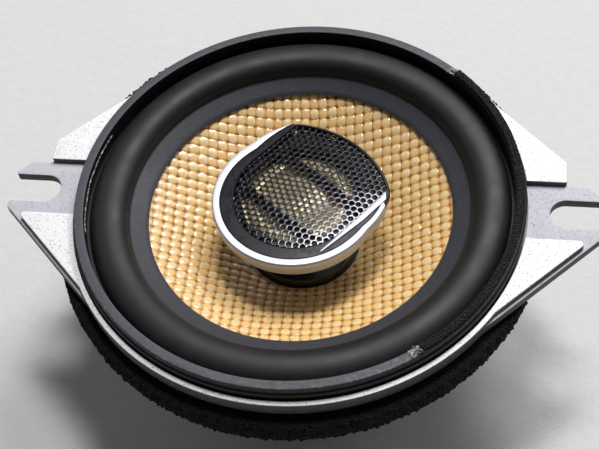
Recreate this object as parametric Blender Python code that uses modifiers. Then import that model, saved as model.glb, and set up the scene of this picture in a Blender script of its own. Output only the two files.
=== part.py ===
"""Coaxial car speaker: die-cast frame, woven cone driver and a round-nosed tweeter on a centre stalk.

Metres, +Z up. The speaker lies face up: its axis is Z, the rear of the magnet rests on Z = 0 and the
two mounting ears reach out along +X and -X. Each sub-part is one object with its own material.
"""

import math

import bmesh
import bpy
import numpy as np

MM = 0.001
GAP = 0.3 * MM
FULL_TURN = 2 * math.pi

# Smoothness of the turned pieces, as the number of facets round one turn.
STEPS_LARGE = 48
STEPS_MEDIUM = 40
STEPS_SMALL = 28
STEPS_FASTENER = 12

# Front ring, the black gasket ring that clamps the surround.
RING_TOP_Z = 50.0 * MM
RING_INNER_R = 49.8 * MM
RING_OUTER_R = 52.0 * MM
RING_BASE_R = 52.55 * MM

# Frame: flange, seat, ears and bowl.
FLANGE_TOP_Z = 46.7 * MM
FLANGE_BOTTOM_Z = 42.9 * MM
FLANGE_R = 54.1 * MM
RECESS_R = 52.9 * MM
SEAT_Z = 44.6 * MM
EAR_FLOOR_Z = 45.3 * MM
EAR_DIAGONAL = 75.5 * MM
EAR_TIP_X = 69.7 * MM
EAR_STEP_X = 61.5 * MM
EAR_CHANNEL_HALF = 8.0 * MM
SLOT_HALF = 3.9 * MM
SLOT_CENTRE_X = 61.7 * MM
WINDOW_COUNT = 6
WINDOW_HALF_ANGLE = math.radians(19)
WINDOW_LOW_Z = 27.4 * MM
WINDOW_HIGH_Z = 40.0 * MM
LEDGE_Z = 25.2 * MM
LEDGE_INNER_R = 26.5 * MM
FRAME_BASE_Z = 21.4 * MM
FRAME_FLOOR_Z = 22.9 * MM
FRAME_HOLE_R = 20.5 * MM

# Rear mounting gasket of open-cell foam.
FOAM_OUTER_R = 58.0 * MM
FOAM_INNER_R = 52.2 * MM
FOAM_BOTTOM_Z = 35.8 * MM

# Strip of foam tape that is left on one side of the front ring.
STRIP_START = math.radians(-52)
STRIP_END = math.radians(47)
STRIP_INNER_R = 49.95 * MM
STRIP_OUTER_R = 51.55 * MM
STRIP_THICKNESS = 1.0 * MM

# Motor.
PLATE_R = 32.5 * MM
YOKE_THICKNESS = 4.5 * MM
MAGNET_R = 35.0 * MM
MAGNET_HOLE_R = 17.0 * MM
MAGNET_LOW_Z = YOKE_THICKNESS + GAP
MAGNET_HIGH_Z = 16.8 * MM
TOP_PLATE_LOW_Z = MAGNET_HIGH_Z + GAP
TOP_PLATE_HIGH_Z = FRAME_BASE_Z - GAP
TOP_PLATE_HOLE_R = 14.1 * MM
POLE_R = 11.8 * MM
POLE_TOP_Z = 22.0 * MM
POLE_BORE_R = 4.3 * MM
LEAD_CHANNEL_HALF = 2.2 * MM
LEAD_CHANNEL_DEPTH = 2.3 * MM
FRAME_SCREW_CIRCLE_R = 23.6 * MM
FRAME_SCREW_COUNT = 4

# Voice coil, spider, cone and surround.
FORMER_INNER_R = 12.3 * MM
FORMER_OUTER_R = 12.6 * MM
FORMER_LOW_Z = 14.2 * MM
FORMER_HIGH_Z = 30.0 * MM
COIL_INNER_R = FORMER_OUTER_R + GAP
COIL_OUTER_R = 13.5 * MM
COIL_LENGTH = 9.0 * MM
COIL_CENTRE_Z = (TOP_PLATE_LOW_Z + TOP_PLATE_HIGH_Z) / 2
NECK_R = FORMER_OUTER_R + GAP
SPIDER_Z = 25.7 * MM
SPIDER_THICKNESS = 0.4 * MM
SPIDER_WAVE = 0.65 * MM
SPIDER_WAVES = 2
SPIDER_ROLL_INNER_R = 14.6 * MM
SPIDER_ROLL_OUTER_R = 26.6 * MM
SPIDER_RIM_R = 31.2 * MM
CONE_FLARE_R = 13.4 * MM
CONE_FLARE_Z = 28.6 * MM
CONE_EDGE_R = 40.0 * MM
CONE_SLOPE = 0.61
CONE_CURVE = 2.2
CONE_THICKNESS = 0.6 * MM
LIP_INNER_R = 36.07 * MM
ROLL_INNER_R = 40.3 * MM
ROLL_OUTER_R = 48.9 * MM
ROLL_CREST_Z = 48.1 * MM
RUBBER_THICKNESS = 0.6 * MM
SURROUND_RIM_R = 52.5 * MM

# Tweeter. Its outline is a round back, two flat sides and two rounded corners that face NOSE_ANGLE.
NOSE_ANGLE = math.radians(52)
BACK_R = 19.6 * MM
BACK_CENTRE = -0.7 * MM
CORNER_R = 6.1 * MM
CORNER_DISTANCE = 15.6 * MM
CORNER_ANGLE = math.radians(46)
NOSE_REACH = 20.2 * MM
RIM_Z = 48.0 * MM
TRIM_BOTTOM_Z = 43.4 * MM
TRIM_WIDTH = 1.8 * MM
TRIM_TAPER = 1.1 * MM
TRIM_START = math.radians(50)
TRIM_END = math.radians(301)
BEZEL_BOTTOM_Z = 46.5 * MM
MESH_HALF = 15.0 * MM
HOUSING_FLOOR_Z = 42.9 * MM
HUB_R = 12.4 * MM
HUB_BOTTOM_Z = 36.4 * MM
POCKET_R = 11.1 * MM
POCKET_FLOOR_Z = 37.9 * MM
SHELF_Z = 44.25 * MM
DOME_RIM_R = 13.5 * MM
STALK_R = 4.0 * MM
STALK_HOLE_R = 2.2 * MM
STALK_LOW_Z = 3.0 * MM
STALK_HIGH_Z = 37.5 * MM

# Terminal board on the frame arm at +Y, and what is fixed to it.
PAD_FACE_Y = 45.3 * MM
BOARD_LOW_Z = 24.5 * MM
BOARD_HIGH_Z = 35.2 * MM
BOARD_HALF = 14.0 * MM
BOARD_THICKNESS = 1.6 * MM
BLADE_X = 9.5 * MM
BLADE_LOW_Z = 16.0 * MM
BLADE_HIGH_Z = 33.0 * MM
RIVET_HEIGHTS = (27.7 * MM, 32.3 * MM)
RIVET_R = 1.1 * MM
RIVET_HEAD_R = 1.9 * MM
CAPACITOR_R = 3.5 * MM
CAPACITOR_HALF = 5.6 * MM
CAPACITOR_Y = 52.4 * MM
CAPACITOR_Z = 29.5 * MM
WIRE_R = 0.5 * MM


def clear_scene():
    for old in list(bpy.data.objects):
        bpy.data.objects.remove(old, do_unlink=True)


def new_collection(name):
    collection = bpy.data.collections.new(name)
    bpy.context.scene.collection.children.link(collection)
    return collection


def make_material(name, colour, roughness, metallic=0.0):
    material = bpy.data.materials.new(name)
    material.use_nodes = True
    shader = material.node_tree.nodes["Principled BSDF"]
    shader.inputs["Base Color"].default_value = (*colour, 1.0)
    shader.inputs["Roughness"].default_value = roughness
    shader.inputs["Metallic"].default_value = metallic
    material.diffuse_color = (*colour, 1.0)
    return material


def place(name, mesh_or_curve, material, collection):
    made = bpy.data.objects.new(name, mesh_or_curve)
    collection.objects.link(made)
    if material:
        made.data.materials.append(material)
    return made


def as_cutter(obj):
    obj.hide_render = True
    obj.display_type = "WIRE"
    return obj


# ---------------------------------------------------------------- outlines


def polar(radius, angle, centre=(0.0, 0.0)):
    return (centre[0] + radius * math.cos(angle), centre[1] + radius * math.sin(angle))


def arc(radius, start, end, count, centre=(0.0, 0.0)):
    return [polar(radius, a, centre) for a in np.linspace(start, end, count)]


def rounded(corners, count=4):
    """The closed outline through corners (x, y, radius), each turned into an arc of that radius."""
    outline = []
    for i, (x, y, radius) in enumerate(corners):
        here = np.array((x, y))
        back = np.array(corners[i - 1][:2]) - here
        ahead = np.array(corners[(i + 1) % len(corners)][:2]) - here
        back /= np.linalg.norm(back)
        ahead /= np.linalg.norm(ahead)
        half = math.acos(np.clip(back @ ahead, -1, 1)) / 2
        if radius == 0 or half > math.radians(89):
            outline.append((x, y))
            continue
        bisector = (back + ahead) / np.linalg.norm(back + ahead)
        centre = here + bisector * radius / math.sin(half)
        first = here + back * radius / math.tan(half) - centre
        last = here + ahead * radius / math.tan(half) - centre
        for t in np.linspace(0, 1, count):
            blend = first * (1 - t) + last * t
            outline.append(tuple(centre + blend * radius / np.linalg.norm(blend)))
    return outline


def mirrored(outline):
    return [(-x, y) for x, y in reversed(outline)]


def band(centre_line, thickness):
    """The closed profile of a sheet of this thickness along a centre line that runs outwards."""
    points = np.array(centre_line)
    along = np.gradient(points, axis=0)
    along /= np.linalg.norm(along, axis=1)[:, None]
    normal = np.stack([-along[:, 1], along[:, 0]], axis=1)
    upper = points + normal * thickness / 2
    lower = points - normal * thickness / 2
    return [tuple(p) for p in upper] + [tuple(p) for p in lower[::-1]]


def shield_polyline(inset):
    """The tweeter's outline about its own axis, in its nose's direction, moved inwards by inset."""
    corner = np.array(polar(CORNER_DISTANCE, CORNER_ANGLE))
    back = np.array((BACK_CENTRE, 0.0))
    reach = corner - back
    lean = math.acos((BACK_R - CORNER_R) / np.linalg.norm(reach))
    side_angle = math.atan2(reach[1], reach[0]) + lean
    span = NOSE_REACH - CORNER_R
    nose_centre = (span**2 - corner @ corner) / (2 * (span - corner[0]))
    nose_r = NOSE_REACH - nose_centre
    nose_angle = math.atan2(corner[1], corner[0] - nose_centre)
    upper = arc(nose_r - inset, 0, nose_angle, 60, (nose_centre, 0))
    upper += arc(CORNER_R - inset, nose_angle, side_angle, 60, tuple(corner))
    upper += arc(BACK_R - inset, side_angle, math.pi, 240, (BACK_CENTRE, 0))
    lower = [(x, -y) for x, y in reversed(upper[1:-1])]
    return np.array(upper + lower)


def shield(inset, angles):
    """Points of the tweeter's outline at these angles from its nose, turned to the nose's direction."""
    line = shield_polyline(inset)
    line_angles = np.unwrap(np.arctan2(line[:, 1], line[:, 0]))
    line_radii = np.hypot(line[:, 0], line[:, 1])
    radii = np.interp(np.mod(angles, FULL_TURN), line_angles, line_radii, period=FULL_TURN)
    return [polar(r, a + NOSE_ANGLE) for r, a in zip(radii, angles)]


def shield_band(outer_inset, inner_inset, start, end, count=48):
    """A strip that follows the tweeter's outline from start to end, between two insets."""
    angles = np.linspace(start, end, count)
    return shield(outer_inset, angles) + shield(inner_inset, angles[::-1])


def from_nose(points):
    """Outline points given along and across the tweeter's nose direction, in the speaker's frame."""
    c, s = math.cos(NOSE_ANGLE), math.sin(NOSE_ANGLE)
    return [(u * c - v * s, u * s + v * c) for u, v in points]


def mesh_outline(inset):
    """The edge of the perforated grille: a round back, two straight sides and the outline's own nose."""
    half = MESH_HALF - inset
    nose = shield_polyline(1.1 * MM + inset)
    order = np.argsort(np.arctan2(nose[:, 1], nose[:, 0]))
    nose = nose[order]
    kept = [tuple(p) for p in nose if p[0] > 6 * MM and abs(p[1]) < half][::9]
    back = arc(half, math.pi / 2, 3 * math.pi / 2, 18)
    return from_nose(kept + back)


def cone_height(radius):
    reach = radius - CONE_FLARE_R
    return CONE_FLARE_Z + CONE_SLOPE * reach - CONE_CURVE * reach * reach


# ---------------------------------------------------------------- solids


def turned(name, profile, material, collection, steps=STEPS_LARGE, on_axis=False):
    """A solid of revolution. The profile runs down its outer side; on_axis leaves it open at the axis."""
    mesh = bpy.data.meshes.new(name)
    count = len(profile)
    edges = [(i, i + 1) for i in range(count - 1)]
    if not on_axis:
        edges.append((count - 1, 0))
    mesh.from_pydata([(r, 0.0, z) for r, z in profile], edges, [])
    made = place(name, mesh, material, collection)
    screw = made.modifiers.new("turn", "SCREW")
    screw.axis = "Z"
    screw.angle = FULL_TURN
    screw.steps = steps
    screw.render_steps = steps
    screw.use_smooth_shade = True
    screw.use_merge_vertices = on_axis
    screw.merge_threshold = 0.00001
    return made


def evaluated_mesh(obj):
    graph = bpy.context.evaluated_depsgraph_get()
    return bpy.data.meshes.new_from_object(obj.evaluated_get(graph))


def shade(obj):
    obj.data.shade_smooth()
    obj.data.set_sharp_from_angle(angle=math.radians(35))
    return obj


def plate(name, outlines, low, high, material, collection, rotation=(0.0, 0.0, 0.0), location=None):
    """A flat plate between two heights, from one outer outline and any holes in it."""
    curve = bpy.data.curves.new(name, "CURVE")
    curve.dimensions = "2D"
    curve.fill_mode = "BOTH"
    curve.extrude = (high - low) / 2
    for outline in outlines:
        spline = curve.splines.new("POLY")
        spline.points.add(len(outline) - 1)
        for point, (x, y) in zip(spline.points, outline):
            point.co = (x, y, 0.0, 1.0)
        spline.use_cyclic_u = True
    drawn = place(name + "_outline", curve, None, collection)
    drawn.rotation_euler = rotation
    drawn.location = location or (0.0, 0.0, (low + high) / 2)
    bpy.context.view_layer.update()
    mesh = evaluated_mesh(drawn)
    matrix = drawn.matrix_world.copy()
    bpy.data.objects.remove(drawn)
    shape = bmesh.new()
    shape.from_mesh(mesh)
    bmesh.ops.remove_doubles(shape, verts=shape.verts, dist=0.000001)
    bmesh.ops.recalc_face_normals(shape, faces=shape.faces)
    shape.to_mesh(mesh)
    shape.free()
    mesh.materials.clear()
    made = place(name, mesh, material, collection)
    made.matrix_world = matrix
    return shade(made)


def loft(name, sections, material, collection):
    """A solid through outlines of equal length, given as (outline, height) from the lowest up."""
    shape = bmesh.new()
    rings = [[shape.verts.new((x, y, z)) for x, y in outline] for outline, z in sections]
    for below, above in zip(rings, rings[1:]):
        for i in range(len(below)):
            shape.faces.new((below[i - 1], below[i], above[i], above[i - 1]))
    shape.faces.new(rings[0][::-1])
    shape.faces.new(rings[-1])
    bmesh.ops.recalc_face_normals(shape, faces=shape.faces)
    mesh = bpy.data.meshes.new(name)
    shape.to_mesh(mesh)
    shape.free()
    return shade(place(name, mesh, material, collection))


def box(name, low, high, material, collection):
    """A box between two corners."""
    shape = bmesh.new()
    bmesh.ops.create_cube(shape, size=1.0)
    size = [b - a for a, b in zip(low, high)]
    middle = [(a + b) / 2 for a, b in zip(low, high)]
    bmesh.ops.scale(shape, vec=size, verts=shape.verts)
    bmesh.ops.translate(shape, vec=middle, verts=shape.verts)
    mesh = bpy.data.meshes.new(name)
    shape.to_mesh(mesh)
    shape.free()
    return place(name, mesh, material, collection)


def cylinder(name, radius, start, end, material, collection, segments=20):
    """A cylinder along X, Y or Z between two points of its axis."""
    shape = bmesh.new()
    length = max(abs(b - a) for a, b in zip(start, end))
    bmesh.ops.create_cone(
        shape, cap_ends=True, segments=segments, radius1=radius, radius2=radius, depth=length
    )
    mesh = bpy.data.meshes.new(name)
    shape.to_mesh(mesh)
    shape.free()
    made = place(name, mesh, material, collection)
    along = [abs(b - a) for a, b in zip(start, end)]
    if along[0] > 0:
        made.rotation_euler = (0.0, math.pi / 2, 0.0)
    elif along[1] > 0:
        made.rotation_euler = (math.pi / 2, 0.0, 0.0)
    made.location = [(a + b) / 2 for a, b in zip(start, end)]
    return shade(made)


def smooth_path(points, spacing):
    """Evenly spaced points on a smooth curve through the given ones."""
    route = np.array(points, float)
    padded = np.vstack([2 * route[0] - route[1], route, 2 * route[-1] - route[-2]])
    samples = []
    for a, b, c, d in zip(padded, padded[1:], padded[2:], padded[3:]):
        for t in np.linspace(0, 1, 24, endpoint=False):
            samples.append(
                0.5
                * (
                    2 * b
                    + (c - a) * t
                    + (2 * a - 5 * b + 4 * c - d) * t**2
                    + (3 * b - a - 3 * c + d) * t**3
                )
            )
    samples.append(route[-1])
    samples = np.array(samples)
    steps = np.linalg.norm(np.diff(samples, axis=0), axis=1)
    travelled = np.concatenate([[0], np.cumsum(steps)])
    stops = np.linspace(0, travelled[-1], max(3, round(travelled[-1] / spacing)))
    return np.stack([np.interp(stops, travelled, samples[:, i]) for i in range(3)], axis=1)


def wire(name, points, radius, material, collection, spacing=3.0 * MM):
    """A round wire along a smooth route through the given points."""
    curve = bpy.data.curves.new(name, "CURVE")
    curve.dimensions = "3D"
    curve.bevel_depth = radius
    curve.bevel_resolution = 2
    curve.use_fill_caps = True
    path = smooth_path(points, spacing)
    spline = curve.splines.new("POLY")
    spline.points.add(len(path) - 1)
    for point, position in zip(spline.points, path):
        point.co = (*position, 1.0)
    return place(name, curve, material, collection)


def combine(obj, others, operation):
    for other in others:
        step = obj.modifiers.new(other.name, "BOOLEAN")
        step.operation = operation
        step.solver = "EXACT"
        step.object = as_cutter(other)


# ---------------------------------------------------------------- frame


def ear_base_outline():
    """The thin lower plate of the +X ear, open towards +X at its slot."""
    start = polar(EAR_DIAGONAL / math.sqrt(2) / math.cos(math.radians(4)), math.radians(-41))
    slot = arc(SLOT_HALF, 3 * math.pi / 2, math.pi / 2, 13, (SLOT_CENTRE_X, 0.0))
    corners = [
        (*start, 0),
        (EAR_TIP_X, EAR_TIP_X - EAR_DIAGONAL, 0.6 * MM),
        (EAR_TIP_X, -SLOT_HALF, 0.4 * MM),
    ]
    corners += [(x, y, 0) for x, y in slot]
    corners += [
        (EAR_TIP_X, SLOT_HALF, 0.4 * MM),
        (EAR_TIP_X, 4.8 * MM, 0.5 * MM),
        (66.5 * MM, 7.9 * MM, 1.0 * MM),
        (EAR_STEP_X, 7.9 * MM, 0.8 * MM),
        (EAR_STEP_X, EAR_DIAGONAL - EAR_STEP_X, 1.2 * MM),
        (start[0], -start[1], 0),
    ]
    inner = arc(FLANGE_R - 0.5 * MM, math.radians(41), math.radians(-41), 20)
    corners += [(x, y, 0) for x, y in inner]
    return rounded(corners)


def raised_outline(side):
    """One of the +X ear's two raised plates: side 1 is towards +Y and stops short, side -1 runs on."""
    inner_r = RECESS_R + 0.15 * MM
    channel_angle = math.asin(EAR_CHANNEL_HALF / inner_r)
    if side > 0:
        diagonal = EAR_DIAGONAL - 0.2 * MM
        meet = math.radians(38)
        tip = [
            (EAR_STEP_X, diagonal - EAR_STEP_X, 1.2 * MM),
            (EAR_STEP_X, EAR_CHANNEL_HALF, 0.5 * MM),
        ]
    else:
        diagonal = EAR_DIAGONAL - 1.1 * MM
        meet = math.radians(34)
        tip = [(diagonal - EAR_CHANNEL_HALF, EAR_CHANNEL_HALF, 0.9 * MM)]
    outer_r = diagonal / math.sqrt(2) / math.cos(math.pi / 4 - meet)
    corners = [(x, y, 0) for x, y in arc(inner_r, channel_angle, meet, 12)]
    corners.append((*polar(outer_r, meet), 0))
    corners += tip
    return [(x, y * side) for x, y in rounded(corners)]


def bowl_profile():
    """The turned section of the frame, down its outer side from the lip to the base and back up."""
    return [
        (RECESS_R + 0.1 * MM, FLANGE_TOP_Z + 0.05 * MM),
        (FLANGE_R - 0.4 * MM, FLANGE_TOP_Z + 0.05 * MM),
        (FLANGE_R - 0.1 * MM, FLANGE_TOP_Z - 0.25 * MM),
        (FLANGE_R, FLANGE_TOP_Z - 0.7 * MM),
        (FLANGE_R, FLANGE_BOTTOM_Z + 0.4 * MM),
        (FLANGE_R - 0.4 * MM, FLANGE_BOTTOM_Z),
        (51.3 * MM, FLANGE_BOTTOM_Z),
        (50.2 * MM, 41.6 * MM),
        (34.2 * MM, 23.4 * MM),
        (33.0 * MM, 22.2 * MM),
        (32.8 * MM, FRAME_BASE_Z),
        (FRAME_HOLE_R, FRAME_BASE_Z),
        (FRAME_HOLE_R, FRAME_FLOOR_Z),
        (LEDGE_INNER_R - 0.2 * MM, FRAME_FLOOR_Z),
        (LEDGE_INNER_R, LEDGE_Z),
        (31.7 * MM, LEDGE_Z),
        (48.0 * MM, 41.8 * MM),
        (48.6 * MM, 42.8 * MM),
        (48.6 * MM, SEAT_Z),
        (RECESS_R, SEAT_Z),
        (RECESS_R, FLANGE_TOP_Z - 0.1 * MM),
    ]


def make_frame(parts, tools, metal):
    frame = turned("basket_frame", bowl_profile(), metal, parts)
    added = []
    for side in (1, -1):
        word = "right" if side > 0 else "left"
        turn = mirrored if side < 0 else list
        base = turn(ear_base_outline())
        low, high = FLANGE_BOTTOM_Z + 0.05 * MM, EAR_FLOOR_Z
        added.append(plate(f"ear_{word}", [base], low, high, None, tools))
        for edge in (1, -1):
            name = f"ear_{word}_raised_{'far' if edge > 0 else 'near'}"
            outline = turn(raised_outline(edge))
            low, high = EAR_FLOOR_Z - 0.4 * MM, FLANGE_TOP_Z
            added.append(plate(name, [outline], low, high, None, tools))
    pad = [
        (35.2 * MM, 25.6 * MM),
        (PAD_FACE_Y, 25.6 * MM),
        (PAD_FACE_Y, 34.4 * MM),
        (42.6 * MM, 34.4 * MM),
    ]
    across = (math.pi / 2, 0.0, math.pi / 2)
    pad_half = 5.5 * MM
    added.append(
        plate("terminal_pad", [pad], -pad_half, pad_half, None, tools, across, (0.0, 0.0, 0.0))
    )
    combine(frame, added, "UNION")
    cuts = []
    for i in range(WINDOW_COUNT):
        middle = i * FULL_TURN / WINDOW_COUNT
        low, high = middle - WINDOW_HALF_ANGLE, middle + WINDOW_HALF_ANGLE
        outline = arc(30 * MM, low, high, 8) + arc(51.5 * MM, high, low, 12)
        cuts.append(plate(f"window_{i}", [outline], WINDOW_LOW_Z, WINDOW_HIGH_Z, None, tools))
    for side in (1, -1):
        near, far = sorted((side * 50 * MM, side * 56 * MM))
        low = (near, -EAR_CHANNEL_HALF, EAR_FLOOR_Z)
        high = (far, EAR_CHANNEL_HALF, FLANGE_TOP_Z + 2 * MM)
        cuts.append(box(f"channel_{'right' if side > 0 else 'left'}", low, high, None, tools))
    for i, height in enumerate(RIVET_HEIGHTS):
        start, end = (0, 38 * MM, height), (0, 47 * MM, height)
        cuts.append(cylinder(f"rivet_hole_{i}", RIVET_R + GAP, start, end, None, tools, STEPS_FASTENER))
    for i in range(FRAME_SCREW_COUNT):
        x, y = polar(FRAME_SCREW_CIRCLE_R, math.pi / 4 + i * math.pi / 2)
        start, end = (x, y, 20 * MM), (x, y, 24 * MM)
        cuts.append(cylinder(f"screw_hole_{i}", 1.7 * MM, start, end, None, tools, STEPS_FASTENER))
    combine(frame, cuts, "DIFFERENCE")


def make_front_ring(parts, plastic):
    low = SEAT_Z + GAP + RUBBER_THICKNESS + GAP
    profile = [
        (RING_INNER_R, RING_TOP_Z - 0.3 * MM),
        (RING_INNER_R + 0.2 * MM, RING_TOP_Z),
        (RING_OUTER_R - 0.25 * MM, RING_TOP_Z),
        (RING_OUTER_R, RING_TOP_Z - 0.25 * MM),
        (RING_OUTER_R + 0.1 * MM, 48.6 * MM),
        (RING_BASE_R - 0.25 * MM, 48.3 * MM),
        (RING_BASE_R, low),
        (RING_INNER_R, low),
    ]
    turned("front_ring", profile, plastic, parts)


def make_gaskets(parts, foam, tape):
    top = FLANGE_BOTTOM_Z - GAP
    profile = [
        (FOAM_INNER_R, top),
        (FOAM_OUTER_R - 0.6 * MM, top),
        (FOAM_OUTER_R, top - 0.8 * MM),
        (FOAM_OUTER_R - 0.8 * MM, FOAM_BOTTOM_Z),
        (FOAM_INNER_R, FOAM_BOTTOM_Z),
    ]
    turned("rear_foam_ring", profile, foam, parts)
    outline = arc(STRIP_OUTER_R, STRIP_START, STRIP_END, 26)
    outline += arc(STRIP_INNER_R, STRIP_END, STRIP_START, 26)
    low = RING_TOP_Z + GAP
    plate("ring_foam_strip", [outline], low, low + STRIP_THICKNESS, tape, parts)


# ---------------------------------------------------------------- motor


def make_motor(parts, tools, steel, ferrite, screw_steel):
    yoke_profile = [
        (POLE_BORE_R, POLE_TOP_Z),
        (POLE_R - 0.5 * MM, POLE_TOP_Z),
        (POLE_R, POLE_TOP_Z - 0.5 * MM),
        (POLE_R, YOKE_THICKNESS),
        (PLATE_R - 0.6 * MM, YOKE_THICKNESS),
        (PLATE_R, YOKE_THICKNESS - 0.6 * MM),
        (PLATE_R, 0.6 * MM),
        (PLATE_R - 0.6 * MM, 0.0),
        (POLE_BORE_R, 0.0),
    ]
    yoke = turned("yoke", yoke_profile, steel, parts, STEPS_MEDIUM)
    low = (-LEAD_CHANNEL_HALF, 0.0, -1 * MM)
    high = (LEAD_CHANNEL_HALF, PLATE_R + 2 * MM, LEAD_CHANNEL_DEPTH)
    combine(yoke, [box("lead_channel", low, high, None, tools)], "DIFFERENCE")
    magnet_profile = [
        (MAGNET_HOLE_R, MAGNET_HIGH_Z),
        (MAGNET_R - 0.8 * MM, MAGNET_HIGH_Z),
        (MAGNET_R, MAGNET_HIGH_Z - 0.8 * MM),
        (MAGNET_R, MAGNET_LOW_Z + 0.8 * MM),
        (MAGNET_R - 0.8 * MM, MAGNET_LOW_Z),
        (MAGNET_HOLE_R, MAGNET_LOW_Z),
    ]
    turned("magnet", magnet_profile, ferrite, parts, STEPS_MEDIUM)
    plate_profile = [
        (TOP_PLATE_HOLE_R, TOP_PLATE_HIGH_Z),
        (PLATE_R, TOP_PLATE_HIGH_Z),
        (PLATE_R, TOP_PLATE_LOW_Z),
        (TOP_PLATE_HOLE_R, TOP_PLATE_LOW_Z),
    ]
    top_plate = turned("top_plate", plate_profile, steel, parts, STEPS_MEDIUM)
    holes = []
    for i in range(FRAME_SCREW_COUNT):
        x, y = polar(FRAME_SCREW_CIRCLE_R, math.pi / 4 + i * math.pi / 2)
        start, end = (x, y, 16.9 * MM), (x, y, 22 * MM)
        holes.append(cylinder(f"plate_hole_{i}", 1.7 * MM, start, end, None, tools, STEPS_FASTENER))
        profile = [
            (0.0, 24.2 * MM),
            (1.6 * MM, 24.2 * MM),
            (2.2 * MM, 23.8 * MM),
            (2.2 * MM, FRAME_FLOOR_Z + GAP),
            (1.4 * MM, FRAME_FLOOR_Z + GAP),
            (1.4 * MM, 17.6 * MM),
            (0.0, 17.6 * MM),
        ]
        screw = turned(f"frame_screw_{i + 1}", profile, screw_steel, parts, STEPS_FASTENER, on_axis=True)
        screw.location = (x, y, 0.0)
    combine(top_plate, holes, "DIFFERENCE")


# ---------------------------------------------------------------- cone driver


def make_suspension(parts, rubber, cloth):
    lift = CONE_THICKNESS / 2 + GAP + RUBBER_THICKNESS / 2
    lip = [(r, cone_height(r) + lift) for r in (LIP_INNER_R, 38.2 * MM)]
    inner_foot_z = cone_height(ROLL_INNER_R) + lift
    outer_foot_z = SEAT_Z + GAP + RUBBER_THICKNESS / 2
    middle = (ROLL_INNER_R + ROLL_OUTER_R) / 2
    half = (ROLL_OUTER_R - ROLL_INNER_R) / 2
    roll = []
    for angle in np.linspace(math.pi, 0, 7):
        across = math.cos(angle)
        foot_z = (inner_foot_z + outer_foot_z) / 2 + across * (outer_foot_z - inner_foot_z) / 2
        height = foot_z + (ROLL_CREST_Z - foot_z) * math.sin(angle) ** 0.8
        roll.append((middle + half * across, height))
    rim = [(ROLL_OUTER_R + 1.2 * MM, outer_foot_z), (SURROUND_RIM_R, outer_foot_z)]
    turned("surround", band(lip + roll + rim, RUBBER_THICKNESS), rubber, parts)
    line = [(NECK_R, SPIDER_Z - 0.5 * MM), (NECK_R + 0.8 * MM, SPIDER_Z)]
    for t in np.linspace(0, 1, 4 * SPIDER_WAVES + 1):
        radius = SPIDER_ROLL_INNER_R + t * (SPIDER_ROLL_OUTER_R - SPIDER_ROLL_INNER_R)
        wave = math.sin(t * SPIDER_WAVES * FULL_TURN)
        line.append((radius, SPIDER_Z + SPIDER_WAVE * wave))
    line.append((SPIDER_RIM_R, SPIDER_Z))
    turned("spider", band(line, SPIDER_THICKNESS), cloth, parts, STEPS_SMALL)


def make_cone_assembly(parts, weave, foil, copper):
    carriage = bpy.data.objects.new("cone_axis", None)
    parts.objects.link(carriage)
    line = [(NECK_R + 0.25 * MM, 26.9 * MM), (NECK_R + 0.3 * MM, 28.1 * MM)]
    radii = np.linspace(CONE_FLARE_R + 0.8 * MM, CONE_EDGE_R, 4)
    line += [(r, cone_height(r)) for r in radii]
    cone = turned("cone", band(line, CONE_THICKNESS * 0.8), weave, parts)
    tube = [
        (FORMER_INNER_R, FORMER_HIGH_Z),
        (FORMER_OUTER_R, FORMER_HIGH_Z),
        (FORMER_OUTER_R, FORMER_LOW_Z),
        (FORMER_INNER_R, FORMER_LOW_Z),
    ]
    former = turned("voice_coil_former", tube, foil, parts, STEPS_MEDIUM)
    winding = [
        (COIL_INNER_R, COIL_CENTRE_Z + COIL_LENGTH / 2),
        (COIL_OUTER_R, COIL_CENTRE_Z + COIL_LENGTH / 2),
        (COIL_OUTER_R, COIL_CENTRE_Z - COIL_LENGTH / 2),
        (COIL_INNER_R, COIL_CENTRE_Z - COIL_LENGTH / 2),
    ]
    coil = turned("voice_coil", winding, copper, parts, STEPS_MEDIUM)
    for piece in (cone, former, coil):
        piece.parent = carriage


def make_tinsel_leads(parts, braid):
    for side, word in ((-1, "positive"), (1, "negative")):
        route = [
            (side * 3.6 * MM, 15.4 * MM, 28.3 * MM),
            (side * 5.0 * MM, 20.0 * MM, 27.6 * MM),
            (side * 7.4 * MM, 28.0 * MM, 28.2 * MM),
            (side * 9.2 * MM, 36.0 * MM, 31.4 * MM),
            (side * BLADE_X, 41.5 * MM, 31.4 * MM),
            (side * BLADE_X, PAD_FACE_Y - WIRE_R, 29.0 * MM),
        ]
        wire(f"tinsel_lead_{word}", route, WIRE_R, braid, parts)


# ---------------------------------------------------------------- terminals


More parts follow.
